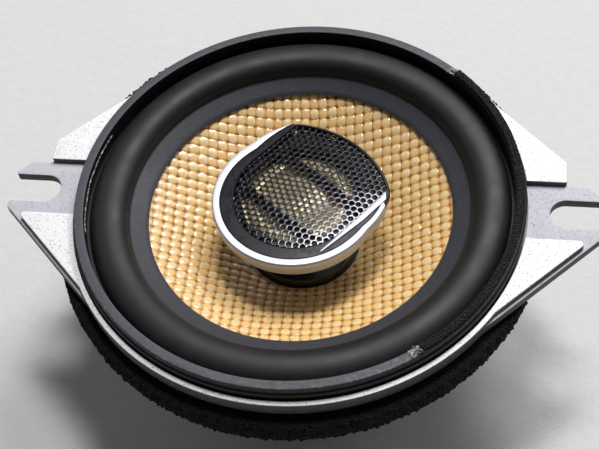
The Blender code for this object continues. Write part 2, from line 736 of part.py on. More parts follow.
def make_terminals(parts, tools, board_plastic, brass, rivet_metal):
    face = PAD_FACE_Y + GAP
    outer = face + BOARD_THICKNESS
    upright = (math.pi / 2, 0.0, 0.0)
    outline = rounded(
        [
            (-BOARD_HALF, BOARD_LOW_Z, 1.5 * MM),
            (BOARD_HALF, BOARD_LOW_Z, 1.5 * MM),
            (BOARD_HALF, BOARD_HIGH_Z, 1.5 * MM),
            (-BOARD_HALF, BOARD_HIGH_Z, 1.5 * MM),
        ]
    )
    half = BOARD_THICKNESS / 2
    middle = (0.0, face + half, 0.0)
    board = plate("terminal_board", [outline], -half, half, board_plastic, parts, upright, middle)
    holes = []
    for i, (height, word) in enumerate(zip(RIVET_HEIGHTS, ("lower", "upper"))):
        start, end = (0, face - 1 * MM, height), (0, outer + 1 * MM, height)
        holes.append(cylinder(f"board_hole_{i}", RIVET_R + GAP, start, end, None, tools, STEPS_FASTENER))
        profile = [
            (0.0, 1.2 * MM),
            (RIVET_HEAD_R * 0.6, 1.1 * MM),
            (RIVET_HEAD_R, GAP + 0.3 * MM),
            (RIVET_HEAD_R, GAP),
            (RIVET_R, GAP),
            (RIVET_R, -6.5 * MM),
            (0.0, -6.5 * MM),
        ]
        rivet = turned(f"terminal_rivet_{word}", profile, rivet_metal, parts, STEPS_FASTENER, on_axis=True)
        rivet.rotation_euler = (-math.pi / 2, 0.0, 0.0)
        rivet.location = (0.0, outer, height)
    combine(board, holes, "DIFFERENCE")
    blades = (("positive", -1, 6.3 * MM, 0.8 * MM), ("negative", 1, 4.8 * MM, 0.5 * MM))
    for word, side, width, thickness in blades:
        left, right = side * BLADE_X - width / 2, side * BLADE_X + width / 2
        outline = rounded(
            [
                (left + 1.0 * MM, BLADE_LOW_Z, 0),
                (right - 1.0 * MM, BLADE_LOW_Z, 0),
                (right, BLADE_LOW_Z + 1.2 * MM, 0),
                (right, BLADE_HIGH_Z, 0.8 * MM),
                (left, BLADE_HIGH_Z, 0.8 * MM),
                (left, BLADE_LOW_Z + 1.2 * MM, 0),
            ]
        )
        hole = arc(0.9 * MM, 0, FULL_TURN, 13, (side * BLADE_X, BLADE_LOW_Z + 3.2 * MM))[:-1]
        half = thickness / 2
        middle = (0.0, outer + GAP + half, 0.0)
        plate(f"terminal_{word}", [outline, hole], -half, half, brass, parts, upright, middle)


def make_crossover(parts, sleeve, copper):
    profile = [
        (0.0, CAPACITOR_HALF),
        (CAPACITOR_R - 0.7 * MM, CAPACITOR_HALF),
        (CAPACITOR_R, CAPACITOR_HALF - 0.6 * MM),
        (CAPACITOR_R, 0.7 * MM - CAPACITOR_HALF),
        (CAPACITOR_R - 0.6 * MM, -CAPACITOR_HALF),
        (0.0, -CAPACITOR_HALF),
    ]
    body = turned("crossover_capacitor", profile, sleeve, parts, STEPS_SMALL, on_axis=True)
    body.rotation_euler = (0.0, math.pi / 2, 0.0)
    body.location = (0.0, CAPACITOR_Y, CAPACITOR_Z)
    blade_face = PAD_FACE_Y + GAP + BOARD_THICKNESS + GAP + 0.8 * MM
    route = [
        (-CAPACITOR_HALF - GAP, CAPACITOR_Y, CAPACITOR_Z),
        (-CAPACITOR_HALF - 1.6 * MM, CAPACITOR_Y, CAPACITOR_Z),
        (-8.6 * MM, CAPACITOR_Y - 1.4 * MM, CAPACITOR_Z),
        (-BLADE_X, blade_face + GAP + WIRE_R, CAPACITOR_Z + 0.5 * MM),
    ]
    wire("capacitor_lead", route, 0.4 * MM, copper, parts, 1.2 * MM)


# ---------------------------------------------------------------- tweeter


def make_tweeter_body(parts, tools, black, silver, mesh_metal, satin):
    angles = np.linspace(0, FULL_TURN, 56, endpoint=False)
    sections = [
        (shield(3.6 * MM, angles), HOUSING_FLOOR_Z),
        (shield(2.7 * MM, angles), HOUSING_FLOOR_Z + 0.9 * MM),
        (shield(TRIM_WIDTH + GAP, angles), BEZEL_BOTTOM_Z - GAP),
    ]
    housing = loft("tweeter_housing", sections, black, parts)
    hub_profile = [
        (STALK_R + GAP, 44.0 * MM),
        (HUB_R, 44.0 * MM),
        (HUB_R, HUB_BOTTOM_Z + 1.0 * MM),
        (HUB_R - 1.0 * MM, HUB_BOTTOM_Z),
        (7.0 * MM, HUB_BOTTOM_Z),
        (6.6 * MM, 33.5 * MM),
        (STALK_R + GAP, 33.5 * MM),
    ]
    combine(housing, [turned("tweeter_hub", hub_profile, None, tools, STEPS_SMALL)], "UNION")
    cavity_profile = [
        (0.0, 48.5 * MM),
        (15.0 * MM, 48.5 * MM),
        (15.0 * MM, 45.2 * MM),
        (13.9 * MM, 45.2 * MM),
        (13.9 * MM, SHELF_Z),
        (POCKET_R, SHELF_Z),
        (POCKET_R, POCKET_FLOOR_Z),
        (STALK_R + GAP, POCKET_FLOOR_Z),
        (STALK_R + GAP, 32.0 * MM),
        (0.0, 32.0 * MM),
    ]
    cavity = turned("tweeter_cavity", cavity_profile, None, tools, STEPS_SMALL, on_axis=True)
    combine(housing, [cavity], "DIFFERENCE")

    trim_sections = [
        (shield_band(TRIM_TAPER, TRIM_WIDTH, TRIM_START, TRIM_END), TRIM_BOTTOM_Z),
        (shield_band(0.0, TRIM_WIDTH, TRIM_START, TRIM_END), RIM_Z - 0.7 * MM),
        (shield_band(0.2 * MM, TRIM_WIDTH, TRIM_START, TRIM_END), RIM_Z - 0.1 * MM),
        (shield_band(0.6 * MM, TRIM_WIDTH, TRIM_START, TRIM_END), RIM_Z + 0.15 * MM),
    ]
    loft("tweeter_trim", trim_sections, silver, parts)

    gap_angle = math.radians(1.2)
    nose_angles = np.linspace(TRIM_END - FULL_TURN + gap_angle, TRIM_START - gap_angle, 24)
    back_angles = np.linspace(TRIM_START - gap_angle, TRIM_END + gap_angle, 44)
    outline = shield(0.3 * MM, nose_angles) + shield(TRIM_WIDTH + GAP, back_angles)
    hole = mesh_outline(0.0)
    plate("tweeter_bezel", [outline, hole], BEZEL_BOTTOM_Z, RIM_Z, black, parts)

    accent = [
        (-8.0 * MM, -15.4 * MM, 0.3 * MM),
        (13.6 * MM, -15.6 * MM, 0),
        (13.2 * MM, -16.1 * MM, 0.2 * MM),
        (4.0 * MM, -17.0 * MM, 0),
        (-8.3 * MM, -15.9 * MM, 0.2 * MM),
    ]
    low = RIM_Z + GAP
    outline = from_nose(rounded(accent, 3))
    plate("tweeter_accent", [outline], low, low + 0.4 * MM, silver, parts)

    rise = 1.0 * MM
    edge = mesh_outline(GAP)
    levels = []
    for scale in (1.0, 0.75, 0.45, 0.15):
        ring = [(x * scale, y * scale) for x, y in edge]
        levels.append((ring, rise * (1 - scale * scale)))
    thickness = 0.5 * MM
    base = RIM_Z - thickness
    sheet = [(ring, base + z) for ring, z in reversed(levels)]
    sheet += [(ring, base + thickness + z) for ring, z in levels]
    loft("tweeter_grille", sheet, mesh_metal, parts)

    ring_profile = [
        (13.5 * MM, 47.35 * MM),
        (14.6 * MM, 47.35 * MM),
        (14.6 * MM, 45.5 * MM),
        (13.5 * MM, 45.5 * MM),
    ]
    guard = turned("tweeter_guard", ring_profile, satin, parts, STEPS_SMALL)
    bars = []
    for side in (1, -1):
        reach = 13.0 * MM
        bow = 1.2 * MM
        turns = np.linspace(-math.pi / 2, math.pi / 2, 9)
        edge_line = [
            (side * (5.6 * MM + bow * math.cos(t)), reach * math.sin(t)) for t in turns
        ]
        half = 1.15 * MM
        bar = [(u + half, v) for u, v in edge_line] + [(u - half, v) for u, v in edge_line[::-1]]
        name = f"guard_bar_{'nose' if side > 0 else 'back'}"
        bars.append(plate(name, [from_nose(bar)], 46.85 * MM, 47.3 * MM, None, tools))
    combine(guard, bars, "UNION")


def make_tweeter_motor(parts, gold, copper, magnet_metal, steel):
    carriage = bpy.data.objects.new("tweeter_axis", None)
    parts.objects.link(carriage)
    cap_r, cap_rise = 8.6 * MM, 2.3 * MM
    cap_radius = (cap_r**2 + cap_rise**2) / (2 * cap_rise)
    base_z = 44.9 * MM
    line = []
    for r in np.linspace(0.25 * MM, cap_r, 5):
        line.append((r, base_z + cap_rise - cap_radius + math.sqrt(cap_radius**2 - r * r)))
    for angle in np.linspace(math.pi, 0, 5):
        middle, half = 10.6 * MM, 1.8 * MM
        line.append((middle + half * math.cos(angle), 44.75 * MM + 1.2 * MM * math.sin(angle)))
    line.append((DOME_RIM_R, 44.75 * MM))
    sheet = band(line, 0.25 * MM)
    upper, lower = sheet[: len(line)], sheet[len(line) :]
    profile = [(0.0, upper[0][1])] + upper + lower + [(0.0, lower[-1][1])]
    dome = turned("tweeter_dome", profile, gold, parts, STEPS_SMALL, on_axis=True)
    winding = [
        (8.75 * MM, 44.2 * MM),
        (9.35 * MM, 44.2 * MM),
        (9.35 * MM, 41.4 * MM),
        (8.75 * MM, 41.4 * MM),
    ]
    coil = turned("tweeter_coil", winding, copper, parts, STEPS_SMALL)
    for piece in (dome, coil):
        piece.parent = carriage
    disc = [(0.0, 42.1 * MM), (7.4 * MM, 42.1 * MM), (7.4 * MM, 39.8 * MM), (0.0, 39.8 * MM)]
    turned("tweeter_magnet", disc, magnet_metal, parts, STEPS_SMALL, on_axis=True)
    disc = [(0.0, 43.7 * MM), (8.2 * MM, 43.7 * MM), (8.2 * MM, 42.4 * MM), (0.0, 42.4 * MM)]
    turned("tweeter_pole_plate", disc, steel, parts, STEPS_SMALL, on_axis=True)
    cup = [
        (0.0, 39.5 * MM),
        (9.9 * MM, 39.5 * MM),
        (9.9 * MM, 43.7 * MM),
        (10.8 * MM, 43.7 * MM),
        (10.8 * MM, 38.2 * MM),
        (0.0, 38.2 * MM),
    ]
    turned("tweeter_yoke", cup, steel, parts, STEPS_SMALL, on_axis=True)


def make_stalk(parts, plastic):
    profile = [
        (STALK_HOLE_R, STALK_HIGH_Z),
        (STALK_R, STALK_HIGH_Z),
        (STALK_R, STALK_LOW_Z),
        (STALK_HOLE_R, STALK_LOW_Z),
    ]
    turned("tweeter_stalk", profile, plastic, parts, STEPS_SMALL)


def make_tweeter_leads(parts, insulation_red, insulation_black):
    below = [
        (37.7, 0.0),
        (30.0, 0.0),
        (20.0, 0.0),
        (10.0, 0.0),
        (4.0, 0.2),
        (1.6, 1.4),
        (1.2, 5.0),
        (1.2, 16.0),
        (1.2, 28.0),
        (1.3, 34.0),
        (3.2, 36.4),
        (8.0, 36.6),
        (14.0, 36.6),
        (18.5, 37.6),
    ]
    negative = [(0.9 * MM, y * MM, z * MM) for z, y in below]
    negative += [
        (1.6 * MM, 41.5 * MM, 21.4 * MM),
        (3.6 * MM, 47.6 * MM, 21.8 * MM),
        (7.4 * MM, 50.4 * MM, 23.6 * MM),
        (BLADE_X, 49.2 * MM, 27.0 * MM),
    ]
    positive = [(-0.9 * MM, y * MM, z * MM) for z, y in below]
    positive += [
        (-0.6 * MM, 42.0 * MM, 21.2 * MM),
        (1.0 * MM, 49.0 * MM, 21.8 * MM),
        (5.2 * MM, 52.2 * MM, 23.6 * MM),
        (8.0 * MM, CAPACITOR_Y, 26.6 * MM),
        (7.6 * MM, CAPACITOR_Y, 29.2 * MM),
        (CAPACITOR_HALF + GAP, CAPACITOR_Y, CAPACITOR_Z),
    ]
    wire("tweeter_lead_negative", negative, WIRE_R, insulation_black, parts)
    wire("tweeter_lead_positive", positive, WIRE_R, insulation_red, parts)


def main():
    clear_scene()
    parts = new_collection("coaxial_car_speaker")
    tools = new_collection("cutters")
    black_plastic = make_material("black_plastic", (0.02, 0.02, 0.022), 0.45)
    ring_plastic = make_material("ring_plastic", (0.07, 0.065, 0.08), 0.6)
    cast_metal = make_material("cast_metal", (0.72, 0.71, 0.74), 0.4, 0.9)
    foam = make_material("foam", (0.012, 0.012, 0.013), 0.95)
    rubber = make_material("rubber", (0.025, 0.025, 0.027), 0.5)
    cloth = make_material("spider_cloth", (0.55, 0.33, 0.12), 0.9)
    weave = make_material("woven_cone", (0.78, 0.55, 0.24), 0.35)
    foil = make_material("former_foil", (0.75, 0.6, 0.35), 0.4, 0.3)
    copper = make_material("copper", (0.72, 0.38, 0.2), 0.3, 1.0)
    braid = make_material("tinsel_braid", (0.75, 0.7, 0.6), 0.45, 0.7)
    steel = make_material("plated_steel", (0.62, 0.62, 0.6), 0.3, 1.0)
    ferrite = make_material("ferrite", (0.06, 0.06, 0.065), 0.6)
    silver = make_material("silver_trim", (0.82, 0.82, 0.84), 0.25, 0.9)
    mesh_metal = make_material("black_mesh", (0.03, 0.03, 0.032), 0.4, 0.5)
    gold = make_material("gold_dome", (0.85, 0.65, 0.3), 0.3, 0.8)
    board_plastic = make_material("terminal_plastic", (0.09, 0.06, 0.04), 0.6)
    brass = make_material("tinned_brass", (0.8, 0.76, 0.62), 0.3, 1.0)
    red = make_material("red_insulation", (0.5, 0.03, 0.03), 0.5)
    dark = make_material("black_insulation", (0.02, 0.02, 0.02), 0.5)
    sleeve = make_material("capacitor_sleeve", (0.05, 0.1, 0.25), 0.35)
    make_frame(parts, tools, cast_metal)
    make_front_ring(parts, ring_plastic)
    make_gaskets(parts, foam, foam)
    make_motor(parts, tools, steel, ferrite, steel)
    make_suspension(parts, rubber, cloth)
    make_cone_assembly(parts, weave, foil, copper)
    make_tinsel_leads(parts, braid)
    make_terminals(parts, tools, board_plastic, brass, steel)
    make_crossover(parts, sleeve, copper)
    make_stalk(parts, black_plastic)
    make_tweeter_body(parts, tools, black_plastic, silver, mesh_metal, black_plastic)
    make_tweeter_motor(parts, gold, copper, steel, steel)
    make_tweeter_leads(parts, red, dark)


main()
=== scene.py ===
import math

import bmesh
import bpy
import numpy as np
from mathutils import Matrix, Vector, noise


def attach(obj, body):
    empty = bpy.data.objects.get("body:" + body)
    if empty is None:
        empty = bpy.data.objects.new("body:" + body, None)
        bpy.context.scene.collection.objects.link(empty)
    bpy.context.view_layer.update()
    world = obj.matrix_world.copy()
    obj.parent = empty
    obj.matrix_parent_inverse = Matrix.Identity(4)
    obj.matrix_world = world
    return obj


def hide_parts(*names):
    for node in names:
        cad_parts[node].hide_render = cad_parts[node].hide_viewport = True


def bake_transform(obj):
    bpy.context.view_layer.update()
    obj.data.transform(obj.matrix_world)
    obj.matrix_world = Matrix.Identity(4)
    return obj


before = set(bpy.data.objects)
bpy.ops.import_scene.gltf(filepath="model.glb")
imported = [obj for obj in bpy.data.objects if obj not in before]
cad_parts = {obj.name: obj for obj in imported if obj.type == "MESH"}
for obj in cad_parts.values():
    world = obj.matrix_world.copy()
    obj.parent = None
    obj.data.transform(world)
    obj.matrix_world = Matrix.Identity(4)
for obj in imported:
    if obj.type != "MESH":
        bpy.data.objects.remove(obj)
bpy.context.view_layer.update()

MM = 0.001
TAU = 2 * math.pi
SHELL = "chassis"
MOVER = "cone_assembly"
DIAPHRAGM = "tweeter_diaphragm"

# Heights, in millimetres, as in the CAD.
RING_TOP = 50.0
RIM = 48.0
FLANGE_TOP = 46.7
FLANGE_BOTTOM = 42.9
EAR_FLOOR = 45.3
SEAT = 44.6
SPIDER_Z = 25.7
RIVETS = {"lower": 27.7, "upper": 32.3}

# Radii, and places and widths across, in millimetres, as in the CAD.
FLANGE_R = 54.1
RECESS_R = 52.9
SCREW_CIRCLE_R = 23.6
SCREW_HOLE_R = 1.7
RIVET_HOLE_R = 1.4
EAR_DIAGONAL = 75.5
EAR_TIP = 69.7
EAR_STEP = 61.5
CHANNEL_HALF = 8.0
SLOT_HALF = 3.9
SLOT_CENTRE = 61.7
MESH_HALF = 15.0
BOARD_FACE = 47.2
TAB_X = 9.5
CAN_Y, CAN_Z = 52.4, 29.5
SHEET = 0.6
GAP = 0.3

# The tweeter's nose points this way, and its trim runs between two angles in degrees from the nose.
NOSE = math.radians(52)
TRIM_START, TRIM_END = 47, 301

# The cone's threads: how far apart they are, and how far they are turned from X and Y.
THREAD = 2.27
WEAVE_TURN = math.radians(5.0)

WINDOWS = 6
SECTORS = 24


# ------------------------------------------------------------------ outlines


def polar(radius, angle, centre=(0.0, 0.0)):
    return (centre[0] + radius * math.cos(angle), centre[1] + radius * math.sin(angle))


def arc(radius, start, end, count, centre=(0.0, 0.0)):
    return [polar(radius, a, centre) for a in np.linspace(start, end, count)]


def unit_rows(rows):
    return rows / np.linalg.norm(rows, axis=1)[:, None]


def rounded(corners, count=7, steady=False):
    """The outline through corners (x, y, radius), each turned into an arc of that radius.

    steady gives every corner the same number of points, so that outlines can be lofted."""
    outline = []
    for i, (x, y, radius) in enumerate(corners):
        sharp = [(x, y)] * (count if steady else 1)
        if radius == 0:
            outline += sharp
            continue
        here = np.array((x, y), float)
        back = np.array(corners[i - 1][:2]) - here
        ahead = np.array(corners[(i + 1) % len(corners)][:2]) - here
        back /= np.linalg.norm(back)
        ahead /= np.linalg.norm(ahead)
        half = math.acos(np.clip(back @ ahead, -1, 1)) / 2
        if half > math.radians(89):
            outline += sharp
            continue
        bisector = (back + ahead) / np.linalg.norm(back + ahead)
        centre = here + bisector * radius / math.sin(half)
        first = here + back * radius / math.tan(half) - centre
        final = here + ahead * radius / math.tan(half) - centre
        for t in np.linspace(0, 1, count):
            blend = first * (1 - t) + final * t
            outline.append(tuple(centre + blend * radius / np.linalg.norm(blend)))
    return outline


def unbent(outline):
    """An outline's points as corners with no bend."""
    return [(x, y, 0) for x, y in outline]


def mirrored(outline):
    return [(-x, y) for x, y in reversed(outline)]


def subdivided(outline, count_for):
    """An outline with each side cut into equal steps. count_for gives their number from its length."""
    outline = np.array(outline)
    fine = []
    for a, b in zip(outline, np.roll(outline, -1, axis=0)):
        for t in np.linspace(0, 1, count_for(np.linalg.norm(b - a)), endpoint=False):
            fine.append(a * (1 - t) + b * t)
    return fine


def band(centre_line, thickness):
    """The closed profile of a sheet along a centre line that runs outwards, and its outward normals."""
    points = np.array(centre_line, float)
    along = unit_rows(np.gradient(points, axis=0))
    normal = np.stack([-along[:, 1], along[:, 0]], axis=1)
    upper = points + normal * thickness / 2
    lower = points - normal * thickness / 2
    return np.vstack([upper, lower[::-1]]), np.vstack([normal, -normal[::-1]])


def distance_along(line):
    return np.concatenate([[0], np.cumsum(np.linalg.norm(np.diff(line, axis=0), axis=1))])


def respaced(line, count):
    """This many points evenly spaced along a line."""
    travelled = distance_along(line)
    stops = np.linspace(0, travelled[-1], count)
    return np.stack([np.interp(stops, travelled, column) for column in line.T], axis=1)


def smooth_path(points, spacing):
    """Evenly spaced points on a smooth curve through the given ones."""
    route = np.array(points, float)
    padded = np.vstack([2 * route[0] - route[1], route, 2 * route[-1] - route[-2]])
    samples = []
    for a, b, c, d in zip(padded, padded[1:], padded[2:], padded[3:]):
        for t in np.linspace(0, 1, 24, endpoint=False):
            cubic = (2 * a - 5 * b + 4 * c - d) * t**2 + (3 * b - a - 3 * c + d) * t**3
            samples.append(0.5 * (2 * b + (c - a) * t + cubic))
    samples = np.array(samples + [route[-1]])
    return respaced(samples, max(4, round(distance_along(samples)[-1] / spacing)))


def shield_polyline(inset):
    """The tweeter's outline in its nose's direction, moved inwards: a round back, flat sides, two corners."""
    back_r, corner_r, reach_out = 19.6, 6.1, 20.2
    corner = np.array(polar(15.6, math.radians(46)))
    back = np.array((-0.7, 0.0))
    reach = corner - back
    lean = math.acos((back_r - corner_r) / np.linalg.norm(reach))
    side_angle = math.atan2(reach[1], reach[0]) + lean
    span = reach_out - corner_r
    nose_centre = (span**2 - corner @ corner) / (2 * (span - corner[0]))
    nose_r = reach_out - nose_centre
    nose_angle = math.atan2(corner[1], corner[0] - nose_centre)
    upper = arc(nose_r - inset, 0, nose_angle, 80, (nose_centre, 0))
    upper += arc(corner_r - inset, nose_angle, side_angle, 80, tuple(corner))
    upper += arc(back_r - inset, side_angle, math.pi, 300, tuple(back))
    lower = [(x, -y) for x, y in reversed(upper[1:-1])]
    return np.array(upper + lower)


def radii_at(line, angles):
    """The radius of a closed outline round the origin at each angle."""
    found = np.arctan2(line[:, 1], line[:, 0]) % TAU
    order = np.argsort(found)
    radii = np.hypot(line[:, 0], line[:, 1])
    return np.interp(np.mod(angles, TAU), found[order], radii[order], period=TAU)


SHIELD = shield_polyline(0.0)
SHIELD_INNER = shield_polyline(1.0)


def shield_radius(angles, inset):
    """The radius of the tweeter's outline at these angles from its nose, at this inset."""
    outer = radii_at(SHIELD, angles)
    return outer + (radii_at(SHIELD_INNER, angles) - outer) * inset


def mesh_radius(angles):
    """The radius of the perforated sheet's edge: a round back, straight sides and the outline's own nose."""
    nose = shield_radius(angles, 1.1)
    u, v = np.cos(angles), np.sin(angles)
    straight = np.where(u > 0, MESH_HALF / np.maximum(np.abs(v), 1e-6), MESH_HALF)
    return np.minimum(nose, straight)


def at_nose(angle, radius, z):
    return (radius * math.cos(angle + NOSE), radius * math.sin(angle + NOSE), z)


def from_nose(points):
    c, s = math.cos(NOSE), math.sin(NOSE)
    return [(u * c - v * s, u * s + v * c) for u, v in points]


# ------------------------------------------------------------------ meshes


def rides(obj, body, replaced=()):
    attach(obj, body)
    if replaced:
        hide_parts(*replaced)
    return obj


def put(name, data):
    made = bpy.data.objects.new(name, data)
    bpy.context.scene.collection.objects.link(made)
    return made


def paint(mesh, material):
    mesh.materials.clear()
    mesh.materials.append(material)


def link(name, mesh, material):
    made = put(name, mesh)
    paint(mesh, material)
    return made


def new_mesh(name, points, faces):
    """A mesh from points in millimetres."""
    mesh = bpy.data.meshes.new(name)
    mesh.from_pydata((np.array(points, float) * MM).tolist(), [], faces)
    return mesh


def shade(mesh, degrees):
    """Smooth shading, with sharp edges where faces meet at more than this."""
    mesh.shade_smooth()
    mesh.set_sharp_from_angle(angle=math.radians(degrees))


def weld(mesh, distance, sliver=0.0):
    """Joins points that meet, removes slivers and turns the faces outwards."""
    shape = bmesh.new()
    shape.from_mesh(mesh)
    bmesh.ops.remove_doubles(shape, verts=shape.verts, dist=distance)
    if sliver:
        bmesh.ops.dissolve_degenerate(shape, edges=shape.edges, dist=sliver)
    bmesh.ops.recalc_face_normals(shape, faces=shape.faces)
    shape.to_mesh(mesh)
    shape.free()


def points_of(mesh, kind="co"):
    """A mesh's points in metres or, with "normal", its normals."""
    held = np.zeros(len(mesh.vertices) * 3)
    mesh.vertices.foreach_get(kind, held)
    return held.reshape(-1, 3)


def move_points(mesh, points):
    mesh.vertices.foreach_set("co", points.ravel())
    mesh.update()


def evaluated_mesh(obj):
    bpy.context.view_layer.update()
    graph = bpy.context.evaluated_depsgraph_get()
    return bpy.data.meshes.new_from_object(obj.evaluated_get(graph))


def solid(name, vertices, faces, material, smooth=35):
    """An object from points in millimetres, welded and facing outwards."""
    mesh = new_mesh(name, vertices, faces)
    weld(mesh, 1e-7, 1e-8)
    shade(mesh, smooth)
    return link(name, mesh, material)


def grid_faces(rows, columns, wrap_rows, wrap_columns):
    """Quads over a grid of points numbered row by row."""
    i, j = np.meshgrid(
        np.arange(rows if wrap_rows else rows - 1),
        np.arange(columns if wrap_columns else columns - 1),
        indexing="ij",
    )
    i, j = i.ravel(), j.ravel()
    k, m = (i + 1) % rows, (j + 1) % columns
    quads = np.stack([i * columns + j, i * columns + m, k * columns + m, k * columns + j], axis=1)
    return quads.tolist()


def skin_faces(rows, columns, closed=False):
    """Quads over closed sections and, unless the last one meets the first, a cap at each end."""
    faces = grid_faces(rows, columns, closed, True)
    if not closed:
        faces.append(list(range(columns)))
        faces.append([(rows - 1) * columns + j for j in range(columns)][::-1])
    return faces


def turn_rows(rows, angles):
    """Rows (radius, height) turned to each angle about Z, as rows (x, y, z)."""
    rows = np.stack([rows[:, 0], rows[:, 0], rows[:, 1]], axis=1)
    turn = np.stack([np.cos(angles), np.sin(angles), np.ones(len(angles))], axis=1)
    return (rows[None] * turn[:, None]).reshape(-1, 3)


def revolve(profile, steps=192, start=0.0, end=TAU):
    """Points and faces of a closed profile (radius, height) turned about Z, with caps on a part turn."""
    full = abs(end - start - TAU) < 1e-9
    angles = np.linspace(start, end, steps if full else steps + 1, endpoint=not full)
    points = turn_rows(np.array(profile, float), angles)
    return points, skin_faces(len(angles), len(profile), full)


def turned(name, profile, material, steps=192, smooth=35, start=0.0, end=TAU):
    return solid(name, *revolve(profile, steps, start, end), material, smooth)


def lathed(name, corners, count, material, steps):
    """A turned solid from corners (radius, height, bend)."""
    return turned(name, rounded(corners, count), material, steps)


def lofted(name, sections, material, wrap=False, smooth=35):
    """A closed solid through closed sections of equal length, each a list of points."""
    sections = np.array(sections, float)
    faces = skin_faces(*sections.shape[:2], wrap)
    return solid(name, sections.reshape(-1, 3), faces, material, smooth)


def tube_mesh(path, radius, sides):
    """Points and faces of a round tube with closed ends."""
    path = np.array(path, float)
    along = unit_rows(np.gradient(path, axis=0))
    side = np.cross(along[0], (0.31, 0.52, 0.79))
    points = []
    for centre, direction in zip(path, along):
        side = side - direction * (side @ direction)
        side /= np.linalg.norm(side)
        up = np.cross(direction, side)
        for a in np.linspace(0, TAU, sides, endpoint=False):
            points.append(centre + (side * math.cos(a) + up * math.sin(a)) * radius)
    return np.array(points), skin_faces(len(path), sides)


def tube(name, path, radius, sides, material, smooth=35):
    return solid(name, *tube_mesh(path, radius, sides), material, smooth)


def joined(parts):
    """Several (points, faces) as one."""
    points, faces, base = [], [], 0
    for some, their in parts:
        points.append(np.array(some, float))
        faces += [[base + i for i in face] for face in their]
        base += len(some)
    return np.vstack(points), faces


def plate(name, outlines, low, high, material, bevel=0.0, matrix=None):
    """A flat plate with rounded edges between two heights, from an outline and any holes in it."""
    curve = bpy.data.curves.new(name, "CURVE")
    curve.dimensions = "2D"
    curve.fill_mode = "BOTH"
    curve.extrude = (high - low) / 2 * MM - bevel * MM
    curve.bevel_depth = bevel * MM
    curve.offset = -bevel * MM
    curve.bevel_resolution = 2
    for outline in outlines:
        spline = curve.splines.new("POLY")
        spline.points.add(len(outline) - 1)
        for point, (x, y) in zip(spline.points, outline):
            point.co = (x * MM, y * MM, 0.0, 1.0)
        spline.use_cyclic_u = True
    drawn = put(name, curve)
    mesh = evaluated_mesh(drawn)
    bpy.data.objects.remove(drawn)
    mesh.transform(Matrix.Translation((0, 0, (low + high) / 2 * MM)))
    if matrix is not None:
        mesh.transform(matrix)
    weld(mesh, 1e-6)
    shade(mesh, 40)
    return link(name, mesh, material)


def block(name, low, high, material):
    """A box between two corners, used only to cut."""
    corners = [(a, b, c) for a in (low[0], high[0]) for b in (low[1], high[1]) for c in (low[2], high[2])]
    faces = [(0, 1, 3, 2), (4, 6, 7, 5), (0, 4, 5, 1), (2, 3, 7, 6), (0, 2, 6, 4), (1, 5, 7, 3)]
    return solid(name, corners, faces, material)


def volume(mesh):
    """The volume that a mesh encloses, in cubic millimetres."""
    shape = bmesh.new()
    shape.from_mesh(mesh)
    enclosed = shape.calc_volume(signed=True) / MM**3
    shape.free()
    return enclosed


def combine(obj, others, operation, smooth=40):
    """obj with the others added to it or cut from it. The others are used up."""
    before = volume(obj.data)
    for other in others:
        step = obj.modifiers.new(other.name, "BOOLEAN")
        step.operation = operation
        step.solver = "MANIFOLD"
        step.object = other
    mesh = evaluated_mesh(obj)
    after = volume(mesh)
    grew, shrank = after > before, after < before
    if after <= 0 or not (grew if operation == "UNION" else shrank):
        raise ValueError(f"{operation} left {obj.name} at {after:.1f} cubic mm, from {before:.1f}")
    obj.modifiers.clear()
    obj.data = mesh
    for other in others:
        bpy.data.objects.remove(other)
    while len(mesh.materials) > 1:
        mesh.materials.pop()
    for polygon in mesh.polygons:
        polygon.material_index = 0
    shade(mesh, smooth)
    return obj


def ripple(*place):
    return noise.noise(Vector(place))


def roughen(obj, amount, scale, seed, along=None, octaves=3):
    """Moves the points of a mesh in and out by smooth noise, for torn foam."""
    normals = points_of(obj.data, "normal")
    points = points_of(obj.data)
    offset = Vector((seed * 7.31, seed * 3.17, seed * 5.93))
    moved = np.zeros(len(points))
    for i, point in enumerate(points):
        place = Vector(point / MM / scale) + offset
        cells = noise.voronoi(place)[0]
        moved[i] = 0.9 * noise.fractal(place, 0.8, 2.1, octaves) + 0.9 * (0.45 - cells[0])
    if along is not None:
        moved *= along(points / MM)
    move_points(obj.data, points + normals * moved[:, None] * amount * MM)


def thicken(obj, thickness):
    obj.modifiers.new("thickness", "SOLIDIFY").thickness = thickness * MM


# ------------------------------------------------------------------ materials


